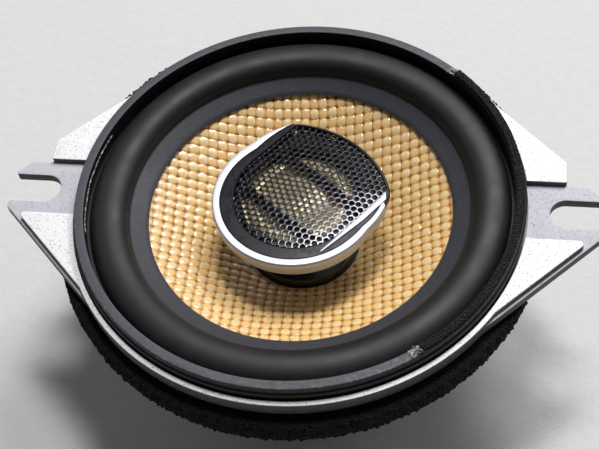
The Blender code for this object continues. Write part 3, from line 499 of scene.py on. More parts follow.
class Surface:
    """A node material whose textures are laid out in millimetres of the object."""

    def __init__(self, name, **sockets):
        self.material = bpy.data.materials.new(name)
        self.material.use_nodes = True
        self.tree = self.material.node_tree
        self.shader = self.tree.nodes["Principled BSDF"]
        self.set(**sockets)
        where = self.tree.nodes.new("ShaderNodeTexCoord")
        self.place = self.scaled(where.outputs["Object"], (1 / MM,) * 3)
        self.facing = where.outputs["Normal"]

    def link(self, value, socket):
        if isinstance(value, bpy.types.NodeSocket):
            self.tree.links.new(value, socket)
        else:
            socket.default_value = value

    def set(self, **sockets):
        for socket, value in sockets.items():
            self.link(value, self.shader.inputs[socket.replace("_", " ")])

    def node(self, kind, values=(), **settings):
        """A new node with these settings and these values on its first inputs."""
        made = self.tree.nodes.new("ShaderNode" + kind)
        for setting, value in settings.items():
            setattr(made, setting, value)
        for value, socket in zip(values, made.inputs):
            self.link(value, socket)
        return made

    def scaled(self, vector, scale):
        return self.node("VectorMath", (vector, scale), operation="MULTIPLY").outputs["Vector"]

    def noise(self, scale, detail=3.0, stretch=None):
        node = self.node("TexNoise")
        place = self.scaled(self.place, stretch) if stretch else self.place
        for name, value in (("Scale", scale), ("Detail", detail), ("Roughness", 0.55), ("Vector", place)):
            self.link(value, node.inputs[name])
        return node.outputs["Fac"]

    def cells(self, scale, output="Distance"):
        node = self.node("TexVoronoi")
        node.inputs["Scale"].default_value = scale
        self.link(self.place, node.inputs["Vector"])
        return node.outputs[output]

    def math(self, operation, a, b=0.0):
        return self.node("Math", (a, b), operation=operation).outputs[0]

    def plus(self, a, b):
        return self.math("ADD", a, b)

    def times(self, a, b):
        return self.math("MULTIPLY", a, b)

    def waves(self, value, rate):
        return self.math("SINE", self.times(value, rate))

    def range(self, value, low, high, out_low=0.0, out_high=1.0):
        values = (value, low, high, out_low, out_high)
        return self.node("MapRange", values, interpolation_type="SMOOTHSTEP").outputs[0]

    def mix(self, share, first, second):
        """A mix of two colours, each a socket, three numbers or one number for a grey."""
        node = self.node("Mix", (share,), data_type="RGBA")
        for value, socket in ((first, node.inputs[6]), (second, node.inputs[7])):
            if isinstance(value, float):
                value = (value,) * 3
            self.link((*value, 1.0) if isinstance(value, tuple) else value, socket)
        return node.outputs[2]

    def mottled(self, scale, detail, dark, light):
        return self.mix(self.noise(scale, detail), dark, light)

    def spots(self, scale, detail, low, high, amount=1.0):
        """Soft patches of noise, this strong."""
        return self.range(self.noise(scale, detail), low, high, 0.0, amount)

    def uneven(self, scale, detail, low, high):
        """A number that wanders between two values, for roughness."""
        return self.range(self.noise(scale, detail), 0.3, 0.7, low, high)

    def axis(self, letter):
        return self.node("SeparateXYZ", (self.place,)).outputs["XYZ".index(letter)]

    def upright(self):
        """1 on walls and 0 on level faces."""
        facing = self.node("SeparateXYZ", (self.facing,))
        return self.range(self.math("ABSOLUTE", facing.outputs["Z"]), 0.35, 0.7, 1.0, 0.0)

    def radius(self):
        flat = self.scaled(self.place, (1, 1, 0))
        return self.node("VectorMath", (flat,), operation="LENGTH").outputs["Value"]

    def attribute(self, name):
        return self.node("Attribute", attribute_name=name).outputs["Fac"]

    def dusty(self, colour, dust=(0.35, 0.34, 0.33), amount=1.0, size=1.6):
        """Sparse pale specks of dust over a colour."""
        specks = self.range(self.cells(size), 0.035, 0.06, amount, 0.0)
        return self.mix(self.times(specks, self.spots(0.11, 2.0, 0.5, 0.62)), colour, dust)

    def finish(self, colour, relief, depth, strength=1.0, **sockets):
        """The material with its colour, a bump of this depth in millimetres, and any other sockets."""
        bump = self.node("Bump")
        for name, value in (("Distance", depth * MM), ("Strength", strength), ("Height", relief)):
            self.link(value, bump.inputs[name])
        self.set(Base_Color=colour, Normal=bump.outputs["Normal"], **sockets)
        return self.material


def make_cast_metal():
    """Grey paint in the low areas, blasted bright metal with painted glints on the raised ones, and walls painted
    near-black as painted shade, with lighter worn patches.
    """
    s = Surface("cast_metal", Roughness=0.4)
    height = s.axis("Z")
    raised = s.range(height, FLANGE_TOP - 0.75, FLANGE_TOP - 0.35)
    painted = s.mottled(0.5, 4.0, (0.54, 0.53, 0.585), (0.61, 0.60, 0.66))
    bright = s.mottled(0.35, 4.0, (0.84, 0.84, 0.855), (0.95, 0.95, 0.96))
    bowl = s.mottled(0.3, 3.0, (0.42, 0.41, 0.43), (0.52, 0.51, 0.53))
    colour = s.mix(s.range(height, 30.0, 43.0), bowl, s.mix(raised, painted, bright))
    # painted glints: near-white specks on the raised plates stand in for light sparkling on the blasted metal
    painted_glints = s.range(s.cells(3.2, "Color"), 0.2, 0.9, 0.0, 0.45)
    colour = s.mix(s.times(painted_glints, raised), colour, (0.99, 0.99, 1.0))
    blasted = s.plus(s.noise(2.2, 2.0), s.times(s.noise(6.5, 1.0), 0.35))
    colour = s.mix(s.range(blasted, 0.76, 0.86, 0.0, 0.7), colour, (0.30, 0.29, 0.32))
    scratches = s.range(s.noise(0.9, 2.0, (0.08, 3.0, 1.0)), 0.68, 0.72, 0.0, 0.35)
    colour = s.mix(scratches, colour, (0.45, 0.44, 0.46))
    # painted shade: walls above the flange's underside, the slot walls among them, are painted near-black, with
    # lighter worn patches
    wall = s.times(s.upright(), s.range(height, FLANGE_BOTTOM - 0.4, FLANGE_BOTTOM))
    painted_wall_shade = s.mottled(0.8, 4.0, (0.075, 0.072, 0.076), (0.12, 0.117, 0.122))
    colour = s.mix(wall, colour, s.mix(s.spots(1.6, 3.0, 0.62, 0.7, 0.5), painted_wall_shade, (0.32, 0.31, 0.32)))
    gloss = s.range(height, FLANGE_TOP - 0.75, FLANGE_TOP - 0.35, 0.70, 0.64)
    rough = s.plus(gloss, s.uneven(1.1, 3.0, -0.07, 0.07))
    grain = s.plus(s.noise(4.0, 3.0), s.times(s.cells(2.2), 0.5))
    return s.finish(colour, grain, 0.04, 0.8, Metallic=s.mix(raised, 0.08, 0.14), Roughness=rough)


def make_ring_plastic():
    s = Surface("ring_plastic", Specular_IOR_Level=0.4)
    colour = s.mottled(0.25, 3.0, (0.050, 0.047, 0.060), (0.080, 0.075, 0.095))
    # painted highlight: a paler band, broken into patches, along the outer edge of the ring's top face
    edge = s.times(s.range(s.radius(), 51.4, 51.75), s.spots(1.3, 3.0, 0.5, 0.62, 0.7))
    colour = s.mix(edge, colour, (0.17, 0.16, 0.19))
    # painted shade: the ring's walls, and everything below its top, are painted near-black
    for share in (s.upright(), s.range(s.axis("Z"), 48.9, 49.5, 1.0, 0.0)):
        colour = s.mix(share, colour, (0.006, 0.006, 0.007))
    colour = s.dusty(colour, amount=0.8)
    return s.finish(colour, s.noise(7.0, 3.0), 0.02, 0.8, Roughness=s.uneven(0.9, 3.0, 0.42, 0.62))


def make_foam(name, dark, light):
    s = Surface(name, Roughness=0.95, Specular_IOR_Level=0.25)
    cell = s.cells(2.4)
    colour = s.mix(s.range(cell, 0.12, 0.6), light, dark)
    colour = s.mix(s.spots(0.5, 4.0, 0.55, 0.75, 0.6), colour, light)
    holes = s.plus(s.range(cell, 0.1, 0.7, 1.0, 0.0), s.noise(3.0, 4.0))
    return s.finish(colour, holes, 0.35)


def make_rubber():
    s = Surface("surround_rubber", Specular_IOR_Level=0.33)
    colour = s.mottled(0.2, 3.0, (0.009, 0.009, 0.010), (0.016, 0.016, 0.018))
    lip = s.range(s.radius(), 40.6, 39.8)
    colour = s.mix(lip, colour, s.mottled(1.2, 4.0, (0.028, 0.029, 0.036), (0.056, 0.058, 0.070)))
    colour = s.dusty(colour, (0.30, 0.28, 0.27), 0.8, 1.3)
    colour = s.mix(s.spots(0.22, 3.0, 0.55, 0.75, 0.12), colour, (0.075, 0.075, 0.082))
    grain = s.plus(s.noise(5.0, 3.0), s.times(s.noise(1.1, 2.0), s.times(lip, 3.0)))
    return s.finish(colour, grain, 0.02, 0.8, Roughness=s.uneven(0.15, 2.0, 0.47, 0.54))


def make_weave():
    """Varnished threads, whose fibres run the way that the cone's own attributes say."""
    s = Surface("woven_cone", Coat_Weight=0.75, Coat_Roughness=0.1)
    along, shade, tint = (s.attribute(name) for name in ("warp", "thread_height", "thread_tint"))
    # painted sheen: where the threads running along Y lie on top they are painted a paler cream than the X threads,
    # for the way they catch the light
    threads = s.mix(along, (1.0, 0.75, 0.38), (0.97, 0.63, 0.24))
    threads = s.mix(s.times(tint, 0.25), threads, (0.97, 0.80, 0.50))
    lengthways = s.times(along, s.noise(1.0, 3.0, (0.6, 7.0, 1.0)))
    crossways = s.times(s.math("SUBTRACT", 1.0, along), s.noise(1.0, 3.0, (7.0, 0.6, 1.0)))
    fibres = s.plus(lengthways, crossways)
    threads = s.mix(s.range(fibres, 0.35, 0.65, 0.3, 0.0), threads, (0.60, 0.32, 0.09))
    # painted shade: the lower the weave lies, the darker it is painted, brown on the threads' flanks and near-black
    # in the gaps between them
    colour = s.mix(s.range(shade, 0.5, 1.0, 1.0, 0.0), threads, (0.51, 0.205, 0.027))
    colour = s.mix(s.range(shade, 0.1, 0.55, 1.0, 0.0), colour, (0.15, 0.042, 0.005))
    colour = s.mix(s.spots(0.12, 2.0, 0.45, 0.62, 0.2), colour, (0.88, 0.58, 0.24))
    return s.finish(colour, fibres, 0.05, 0.8, Roughness=s.range(fibres, 0.3, 0.7, 0.2, 0.38))


def make_cloth():
    s = Surface("spider_cloth", Roughness=0.85)
    woven = s.times(s.waves(s.axis("X"), 9.0), s.waves(s.axis("Y"), 9.0))
    colour = s.mix(s.range(woven, -1.0, 1.0), (0.33, 0.17, 0.045), (0.60, 0.37, 0.13))
    colour = s.mix(s.spots(0.3, 3.0, 0.4, 0.7, 0.5), colour, (0.42, 0.22, 0.07))
    return s.finish(colour, woven, 0.1)


def make_silver():
    s = Surface("silver_trim", Metallic=0.45)
    colour = s.mottled(0.4, 3.0, (0.56, 0.57, 0.635), (0.64, 0.65, 0.72))
    colour = s.mix(s.spots(3.0, 2.0, 0.70, 0.76, 0.4), colour, (0.42, 0.41, 0.43))
    return s.finish(colour, s.noise(9.0, 3.0), 0.003, 0.4, Roughness=s.uneven(1.4, 3.0, 0.40, 0.50))


def make_black_plastic():
    s = Surface("black_plastic", Specular_IOR_Level=0.22)
    colour = s.mottled(0.4, 3.0, (0.006, 0.006, 0.009), (0.012, 0.012, 0.018))
    colour = s.dusty(colour, (0.22, 0.21, 0.21), 0.7, 2.2)
    return s.finish(colour, s.noise(8.0, 3.0), 0.012, 0.6, Roughness=s.uneven(0.8, 3.0, 0.27, 0.45))


def make_mesh_metal():
    s = Surface("black_mesh", Metallic=0.9, Roughness=0.17)
    colour = s.mottled(1.2, 3.0, (0.045, 0.045, 0.052), (0.085, 0.085, 0.097))
    colour = s.mix(s.spots(4.0, 2.0, 0.66, 0.72, 0.6), colour, (0.2, 0.2, 0.22))
    return s.finish(colour, s.noise(9.0, 2.0), 0.012, 0.5)


def make_gold():
    s = Surface("gold_dome", Metallic=0.3)
    colour = s.mottled(0.9, 3.0, (0.93, 0.73, 0.38), (1.0, 0.88, 0.58))
    ribs = s.noise(1.0, 2.0, (2.4, 2.4, 0.3))
    return s.finish(colour, ribs, 0.06, 0.7, Roughness=s.uneven(1.5, 3.0, 0.22, 0.4))


def stained(s, marks, dark, light):
    colour = s.mix(marks, dark, light)
    return s.mix(s.spots(0.35, 4.0, 0.56, 0.74, 0.45), colour, (0.3, 0.26, 0.22))


def with_rings(s, marks):
    """Marks with the fine rings that a lathe leaves."""
    return s.plus(marks, s.times(s.waves(s.radius(), 22.0), 0.35))


def make_metal(name, dark, light, roughness, metallic=1.0, turned_marks=False):
    s = Surface(name, Metallic=metallic)
    marks = s.noise(2.0, 3.0) if turned_marks else s.noise(1.0, 3.0, (0.7, 0.7, 6.0))
    colour = stained(s, marks, dark, light)
    if turned_marks:
        marks = with_rings(s, marks)
    rough = s.uneven(0.9, 4.0, roughness * 0.8, roughness * 1.35)
    return s.finish(colour, marks, 0.02, 0.7, Roughness=rough)


def make_pole_steel():
    """Turned steel whose pole is painted near-black above the plate, as painted shade."""
    s = Surface("turned_steel")
    marks = with_rings(s, s.noise(2.0, 3.0))
    # painted shade: the pole is painted near-black above the back plate
    shaded_pole = s.range(s.axis("Z"), 5.0, 8.0)
    colour = s.mix(shaded_pole, stained(s, marks, (0.48, 0.48, 0.47), (0.64, 0.64, 0.62)), (0.012, 0.012, 0.013))
    metallic, rough = s.mix(shaded_pole, 1.0, 0.15), s.mix(shaded_pole, 0.34, 0.6)
    return s.finish(colour, marks, 0.02, 0.7, Metallic=metallic, Roughness=rough)


def make_ferrite():
    s = Surface("ferrite", Roughness=0.55)
    colour = s.mottled(1.0, 5.0, (0.035, 0.035, 0.04), (0.075, 0.075, 0.082))
    chips = s.spots(0.9, 3.0, 0.66, 0.7, 0.7)
    colour = s.mix(chips, colour, (0.13, 0.13, 0.14))
    return s.finish(colour, s.plus(s.noise(4.0, 4.0), s.times(chips, -1.0)), 0.08)


def make_plastic(name, dark, light, roughness, grain=5.0):
    s = Surface(name)
    colour = s.dusty(s.mottled(0.6, 4.0, dark, light), amount=0.5)
    rough = s.uneven(0.8, 3.0, roughness * 0.8, roughness * 1.25)
    return s.finish(colour, s.noise(grain, 3.0), 0.02, Roughness=rough)


def make_winding():
    s = Surface("copper_winding", Metallic=0.9, Roughness=0.3)
    turns = s.waves(s.axis("Z"), 25.0)
    colour = s.mix(s.range(turns, -1.0, 0.4), (0.30, 0.11, 0.04), (0.80, 0.40, 0.20))
    return s.finish(colour, turns, 0.05)


def make_glue():
    s = Surface("old_adhesive", Roughness=0.22, Transmission_Weight=0.25, IOR=1.45)
    colour = s.mix(s.spots(1.8, 4.0, 0.42, 0.62), (0.10, 0.095, 0.09), (0.62, 0.60, 0.57))
    return s.finish(colour, s.noise(2.5, 4.0), 0.15)


def make_floor_material():
    s = Surface("pale_card", Roughness=0.75, Specular_IOR_Level=0.3)
    colour = s.mottled(0.012, 4.0, (0.69, 0.686, 0.686), (0.73, 0.727, 0.727))
    fibre = s.plus(s.noise(0.35, 5.0), s.times(s.noise(1.6, 3.0), 0.5))
    colour = s.mix(s.range(fibre, 0.6, 0.95, 0.0, 0.35), colour, (0.655, 0.65, 0.65))
    return s.finish(colour, fibre, 0.35, 0.5)


CAST = make_cast_metal()
RING = make_ring_plastic()
FOAM = make_foam("torn_foam", (0.003, 0.003, 0.0035), (0.022, 0.022, 0.024))
TAPE = make_foam("tape_foam", (0.010, 0.010, 0.011), (0.06, 0.057, 0.062))
RUBBER = make_rubber()
WEAVE = make_weave()
CLOTH = make_cloth()
SILVER = make_silver()
BLACK = make_black_plastic()
GRILLE = make_mesh_metal()
GOLD = make_gold()
FOIL = make_metal("former_foil", (0.16, 0.10, 0.05), (0.26, 0.18, 0.09), 0.5, 0.35)
STEEL = make_metal("plated_steel", (0.50, 0.50, 0.49), (0.66, 0.66, 0.64), 0.3)
TURNED_STEEL = make_metal("turned_steel", (0.48, 0.48, 0.47), (0.64, 0.64, 0.62), 0.32, 1.0, True)
POLE = make_pole_steel()
NICKEL = make_metal("nickel_plate", (0.60, 0.60, 0.61), (0.74, 0.74, 0.75), 0.2)
TIN = make_metal("tinned_brass", (0.66, 0.60, 0.46), (0.80, 0.75, 0.62), 0.3)
BRAID = make_metal("tinsel_braid", (0.52, 0.44, 0.32), (0.80, 0.73, 0.60), 0.42, 0.7)
COPPER = make_metal("copper_wire", (0.60, 0.28, 0.13), (0.80, 0.45, 0.26), 0.3)
WINDING = make_winding()
FERRITE = make_ferrite()
BOARD = make_plastic("terminal_board", (0.07, 0.038, 0.02), (0.12, 0.07, 0.04), 0.55, 3.0)
SLEEVE = make_plastic("capacitor_sleeve", (0.02, 0.055, 0.16), (0.035, 0.08, 0.22), 0.35)
RED = make_plastic("red_insulation", (0.40, 0.02, 0.02), (0.52, 0.04, 0.035), 0.42)
DARK = make_plastic("black_insulation", (0.014, 0.014, 0.014), (0.026, 0.026, 0.026), 0.45)
STALK = make_plastic("stalk_plastic", (0.012, 0.012, 0.014), (0.03, 0.03, 0.032), 0.4)
GLUE = make_glue()
CARD = make_floor_material()


# ------------------------------------------------------------------ camera, floor, light


def make_camera():
    azimuth, elevation, roll = math.radians(13.69), math.radians(54.09), math.radians(-8.12)
    distance, aside, above = 285.05, 0.61, -8.24
    reach = math.cos(elevation)
    back = Vector((math.sin(azimuth) * reach, -math.cos(azimuth) * reach, math.sin(elevation)))
    right = Vector((math.cos(azimuth), math.sin(azimuth), 0))
    up = back.cross(right)
    turned_right = right * math.cos(roll) + up * math.sin(roll)
    turned_up = up * math.cos(roll) - right * math.sin(roll)
    data = bpy.data.cameras.new("camera")
    data.sensor_width = 36
    data.lens = 74.31
    data.clip_start, data.clip_end = 0.01, 10
    camera = put("camera", data)
    where = back * distance + turned_right * aside + turned_up * above + Vector((0, 0, RING_TOP))
    columns = Matrix((turned_right, turned_up, back)).transposed()
    camera.matrix_world = Matrix.Translation(where * MM) @ columns.to_4x4()
    bpy.context.scene.camera = camera


def area_light(name, azimuth, elevation, distance, size, power, colour):
    """A flat lamp that faces the object. Azimuth 0 is towards +Y and 90 towards +X."""
    data = bpy.data.lights.new(name, "AREA")
    data.shape = "RECTANGLE"
    data.size, data.size_y = size
    data.energy = power
    data.color = colour
    lamp = put(name, data)
    a, e = math.radians(azimuth), math.radians(elevation)
    aim = Vector((math.sin(a) * math.cos(e), math.cos(a) * math.cos(e), math.sin(e)))
    lamp.location = Vector((0, 0, 0.045)) + aim * distance
    lamp.rotation_mode = "QUATERNION"
    lamp.rotation_quaternion = (-aim).to_track_quat("-Z", "Y")


def make_light():
    world = bpy.data.worlds.new("studio")
    bpy.context.scene.world = world
    world.use_nodes = True
    sky = world.node_tree.nodes["Background"].inputs
    sky["Color"].default_value = (0.93, 0.95, 1.0, 1)
    sky["Strength"].default_value = 0.09
    area_light("key", 2, 67, 2.2, (0.45, 0.45), 27.5, (1.0, 0.99, 0.97))
    area_light("main_softbox", 25, 48, 2.2, (0.74, 0.74), 25.0, (0.98, 0.99, 1.0))
    area_light("side_softbox", 50, 30, 1.5, (0.5, 0.5), 2.2, (0.98, 0.99, 1.0))
    area_light("back_softbox", -60, 38, 1.5, (0.8, 0.5), 1.1, (0.97, 0.98, 1.0))
    view = bpy.context.scene.view_settings
    view.view_transform = "Standard"
    view.look = "None"
    view.exposure = 0.0


def make_floor():
    far = 3000
    corners = [(-far, -far, 0), (far, -far, 0), (far, far, 0), (-far, far, 0)]
    link("floor", new_mesh("floor", corners, [(0, 1, 2, 3)]), CARD)


# ------------------------------------------------------------------ frame


SCREWS = [polar(SCREW_CIRCLE_R, math.pi / 4 + i * math.pi / 2) for i in range(4)]


def screw_holes(heights, material):
    return [tube("hole", [(x, y, z) for z in heights], SCREW_HOLE_R, 20, material) for x, y in SCREWS]


def rivet_holes(depths, material):
    paths = [[(0, y, z) for y in depths] for z in RIVETS.values()]
    return [tube("hole", path, RIVET_HOLE_R, 20, material) for path in paths]


def ear_base():
    start = polar(EAR_DIAGONAL / math.sqrt(2) / math.cos(math.radians(4)), math.radians(-41))
    slot = arc(SLOT_HALF, 3 * math.pi / 2, math.pi / 2, 31, (SLOT_CENTRE, 0.0))
    corners = [(*start, 0), (EAR_TIP, EAR_TIP - EAR_DIAGONAL, 0.6), (EAR_TIP, -SLOT_HALF, 0.45)]
    corners += unbent(slot)
    corners += [(EAR_TIP, SLOT_HALF, 0.45), (EAR_TIP, 4.8, 0.5), (66.5, 7.9, 1.0), (EAR_STEP, 7.9, 0.8)]
    corners += [(EAR_STEP, EAR_DIAGONAL - EAR_STEP, 1.2), (start[0], -start[1], 0)]
    inner = arc(FLANGE_R - 0.8, math.radians(41), math.radians(-41), 60)
    return rounded(corners + unbent(inner))


def raised(side):
    """One of the +X ear's raised plates: side 1 is towards +Y and stops short, side -1 runs on."""
    inner_r = RECESS_R + 0.25
    channel = math.asin(CHANNEL_HALF / inner_r)
    if side > 0:
        diagonal, meet = EAR_DIAGONAL - 0.2, math.radians(38)
        tip = [(EAR_STEP, diagonal - EAR_STEP, 1.2), (EAR_STEP, CHANNEL_HALF, 0.5)]
    else:
        diagonal, meet = EAR_DIAGONAL - 1.1, math.radians(34)
        tip = [(diagonal - CHANNEL_HALF, CHANNEL_HALF, 0.9)]
    outer = diagonal / math.sqrt(2) / math.cos(math.pi / 4 - meet)
    corners = unbent(arc(inner_r, channel, meet, 36)) + [(*polar(outer, meet), 0), *tip]
    return [(x, y * side) for x, y in rounded(corners)]


def make_frame():
    top = FLANGE_TOP + 0.05
    corners = [(RECESS_R + 0.1, top, 0.1), (FLANGE_R, top, 0.16), (FLANGE_R, FLANGE_BOTTOM, 0.5)]
    corners += [(51.3, FLANGE_BOTTOM, 0.5), (50.2, 41.6, 0.5), (34.2, 23.4, 1.5), (33.0, 22.2, 0.5)]
    corners += [(32.8, 21.4, 0.3), (20.5, 21.4, 0.3), (20.5, 22.9, 0.3), (26.3, 22.9, 0.2)]
    corners += [(26.5, 25.2, 0.3), (31.7, 25.2, 0.3), (48.0, 41.8, 0.5), (48.6, 42.8, 0.3)]
    corners += [(48.6, SEAT, 0.3), (RECESS_R, SEAT, 0.1), (RECESS_R, FLANGE_TOP - 0.1, 0.05)]
    body = lathed("basket_casting", corners, 5, CAST, 256)
    added = []
    for turn in (list, mirrored):
        added.append(plate("ear", [turn(ear_base())], FLANGE_BOTTOM + 0.05, EAR_FLOOR, CAST, 0.22))
        for edge in (1, -1):
            added.append(plate("raised", [turn(raised(edge))], EAR_FLOOR - 0.6, FLANGE_TOP, CAST, 0.2))
    pad = [(35.2, 25.6), (45.3, 25.6), (45.3, 34.4), (42.6, 34.4)]
    across = Matrix(((0, 0, 1, 0), (1, 0, 0, 0), (0, 1, 0, 0), (0, 0, 0, 1)))
    added.append(plate("pad", [pad], -5.5, 5.5, CAST, 0.2, across))
    for i in range(WINDOWS):
        for shift in (-0.13, 0.13):
            angle = (i + 0.5) * TAU / WINDOWS + shift
            ends = [(*polar(34.5, angle), 24.2), (*polar(50.4, angle), 42.4)]
            middle = [(a + b) / 2 for a, b in zip(*ends)]
            added.append(tube("rib", [ends[0], middle, ends[1]], 0.75, 10, CAST))
    combine(body, added, "UNION")
    cuts = []
    for i in range(WINDOWS):
        low, high = (i * TAU / WINDOWS + math.radians(side) for side in (-19, 19))
        edge = arc(30, low, high, 16) + arc(51.5, high, low, 26)
        cuts.append(plate("window", [edge], 27.4, 40.0, CAST))
    for near, far in ((50, 56), (-56, -50)):
        low, high = (near, -CHANNEL_HALF, EAR_FLOOR), (far, CHANNEL_HALF, 49)
        cuts.append(block("channel", low, high, CAST))
    cuts += rivet_holes((38, 42, 47), CAST) + screw_holes((20, 22, 24), CAST)
    combine(body, cuts, "DIFFERENCE")
    rides(body, SHELL, ["basket_frame"])


def make_front_ring():
    low = SEAT + GAP + SHEET + GAP
    corners = [(49.8, RING_TOP, 0.22), (52.0, RING_TOP, 0.3), (52.1, 48.6, 0.15), (52.55, 48.3, 0.3)]
    corners += [(52.55, low, 0.1), (49.8, low, 0.1)]
    rides(lathed("gasket_ring", corners, 6, RING, 320), SHELL, ["front_ring"])


def make_foam_strip():
    corners = [(49.9, 50.1, 0.1), (51.95, 50.1, 0.1), (51.9, 51.05, 0.35), (50.0, 51.05, 0.35)]
    profile = subdivided(rounded(corners, 6), lambda length: 4)
    strip = turned("foam_tape", profile, TAPE, 620, 60, math.radians(-52), math.radians(47))
    roughen(strip, 0.13, 0.4, 2)
    rides(strip, SHELL, ["ring_foam_strip"])


def make_rear_foam():
    """The coarse seal under the flange, torn on its outside and pushed out of round in two places."""
    corners = [(52.4, 42.5, 0.2), (57.2, 42.5, 1.2), (56.6, 35.9, 1.6), (52.4, 35.9, 0.2)]
    profile = subdivided(rounded(corners, 8), lambda length: max(1, int(length / 0.45)))
    ring = turned("foam_seal", profile, FOAM, 1080, 70)

    def outside(points):
        radius = np.hypot(points[:, 0], points[:, 1])
        return np.clip((radius - 53.2) / 1.5, 0, 1) * np.clip((42.75 - points[:, 2]) / 0.5, 0.25, 1)

    roughen(ring, 0.55, 0.85, 1, outside, 4)
    points = points_of(ring.data)
    radius = np.hypot(points[:, 0], points[:, 1]) / MM
    share = np.clip((radius - 52.6) / 5.4, 0, 1)
    angle = np.arctan2(points[:, 1], points[:, 0])
    away = [(np.degrees(angle) - middle + 180) % 360 - 180 for middle in (135, 270)]
    sag = 2.3 * np.exp(-((away[0] / 35) ** 2)) + 0.7 * np.exp(-((away[1] / 30) ** 2))
    points[:, 0] += np.cos(angle) * share * sag * MM
    points[:, 1] += np.sin(angle) * share * sag * MM
    points[:, 2] = np.minimum(points[:, 2], (FLANGE_BOTTOM - 0.12) * MM)
    move_points(ring.data, points)
    rides(ring, SHELL, ["rear_foam_ring"])


def make_adhesive():
    """A glassy ribbon of old adhesive on the ring's inner wall, and the torn film at the tape's two ends."""
    ribbon, columns, rows = [], 170, 9
    for i in range(columns):
        angle = math.radians(163 + 34 * i / (columns - 1))
        middle = 48.4 + 0.35 * ripple(i * 0.05, 1.7, 0.3)
        half = 0.06 + 0.4 * abs(ripple(i * 0.09, 4.1, 2.2))
        half *= min(1.0, 0.12 * i, 0.12 * (columns - 1 - i))
        for j in range(rows):
            across = 2 * j / (rows - 1) - 1
            swell = 0.03 + 0.2 * (1 - across * across) * (0.6 + ripple(i * 0.21, across * 2.0, 6.0))
            ribbon.append((*polar(49.78 - max(0.03, swell), angle), middle + half * across))
    streak = solid("adhesive_ribbon", ribbon, grid_faces(columns, rows, False, False), GLUE, 70)
    thicken(streak, 0.05)
    rides(streak, SHELL)
    films = []
    columns, rows = 26, 20
    for angle, reach, seed in ((-53.2, 3.4, 1.0), (48.2, 2.4, 5.0)):
        sheet = []
        for i in range(columns):
            for j in range(rows):
                along, across = i / (columns - 1), j / (rows - 1)
                radius = 49.7 + 2.1 * across + 0.35 * ripple(along * 3.1, seed, 0.0)
                curl = 0.9 * ripple(along * 2.2, across * 2.0, seed) + 0.35
                lift = max(0.06, curl * (0.35 + along * (1 - along) * 3.0))
                turn = math.radians(angle) + (along - 0.5) * reach / 50.0
                sheet.append((*polar(radius, turn), RING_TOP + lift))
        films.append((sheet, grid_faces(columns, rows, False, False)))
    film = solid("adhesive_film", *joined(films), GLUE, 70)
    thicken(film, 0.08)
    rides(film, SHELL)


# ------------------------------------------------------------------ cone and its suspension


def cone_height(radius):
    reach = radius - 13.4
    return 28.6 + 0.61 * reach - 0.0022 * reach * reach


def weave_height(x, y):
    """Height of a plain weave of flat threads over the plane, whether the warp is on top, and the crossing."""
    c, s = math.cos(WEAVE_TURN), math.sin(WEAVE_TURN)
    u = (x * c + y * s) / THREAD
    v = (y * c - x * s) / THREAD
    u = u + 0.035 * np.sin(v * 1.7)
    v = v + 0.035 * np.sin(u * 1.3)
    i, j = np.round(u), np.round(v)

    def profile(t):
        return np.sqrt(np.clip(1 - np.abs(2 * t / 0.94) ** 2.2, 0, 1))

    over_x = 0.55 * np.cos(math.pi * (u + j)) + 0.66 * profile(v - j)
    over_y = -0.62 * np.cos(math.pi * (v + i)) + 0.72 * profile(u - i)
    height = np.maximum(over_x, over_y)
    return height, (over_x > over_y).astype(float), i, j


def woven_surface(x, y, relief=0.36):
    height, warp, i, j = weave_height(x, y)
    radius = np.hypot(x, y)
    calm = np.clip((radius - 14.0) / 2.0, 0, 1) * np.clip((40.2 - radius) / 0.6, 0, 1)
    return cone_height(radius) + relief * (height - 0.55) * calm, height, warp, i, j


def make_cone():
    """The woven cone, with the weave's own slope as the normals of its front."""
    steps, rings, below, thickness = 840, 86, 12, 0.42
    angles = np.linspace(0, TAU, steps, endpoint=False)
    a, r = np.meshgrid(angles, np.linspace(13.6, 39.9, rings), indexing="ij")
    x, y = r * np.cos(a), r * np.sin(a)
    z, height, warp, i, j = woven_surface(x, y)
    tiny, least, most = 0.02, -1.3, 1.3 + 0.6
    slope_x = (woven_surface(x + tiny, y)[0] - woven_surface(x - tiny, y)[0]) / (2 * tiny)
    slope_y = (woven_surface(x, y + tiny)[0] - woven_surface(x, y - tiny)[0]) / (2 * tiny)
    slope_x, slope_y = np.clip(slope_x, least, most), np.clip(slope_y, least, most)
    top_normal = np.stack([-slope_x, -slope_y, np.ones_like(z)], axis=2)
    neck = np.array([(13.25, 28.4), (13.1, 27.9), (13.1, 26.9), (12.95, 26.9), (12.95, 28.3)])
    lower_r = np.linspace(13.5, 39.9, below)
    lower = np.stack([lower_r, cone_height(lower_r) - thickness], axis=1)
    back = np.vstack([lower[::-1], neck[::-1]])
    ring_count = rings + len(back)
    points = np.zeros((steps, ring_count, 3))
    points[:, :rings] = np.stack([x, y, z], axis=2)
    points[:, rings:] = turn_rows(back, angles).reshape(steps, -1, 3)
    mesh = new_mesh("woven_cone", points.reshape(-1, 3), grid_faces(steps, ring_count, True, True))
    mesh.shade_smooth()
    tint = np.sin(i * 12.9898 + j * 78.233) * 43758.5453 % 1.0
    for name, values, behind in (("warp", warp, 0.0), ("thread_height", height, 0.6), ("thread_tint", tint, 0.6)):
        held = np.full((steps, ring_count), behind, np.float32)
        held[:, :rings] = values
        mesh.attributes.new(name, "FLOAT", "POINT").data.foreach_set("value", held.ravel())
    mesh.update()
    normals = points_of(mesh, "normal").reshape(steps, ring_count, 3)
    top_normal /= np.linalg.norm(top_normal, axis=2)[..., None]
    normals[:, 1 : rings - 1] = top_normal[:, 1 : rings - 1]
    mesh.normals_split_custom_set_from_vertices(normals.reshape(-1, 3))
    rides(link("woven_cone", mesh, WEAVE), MOVER, ["cone"])


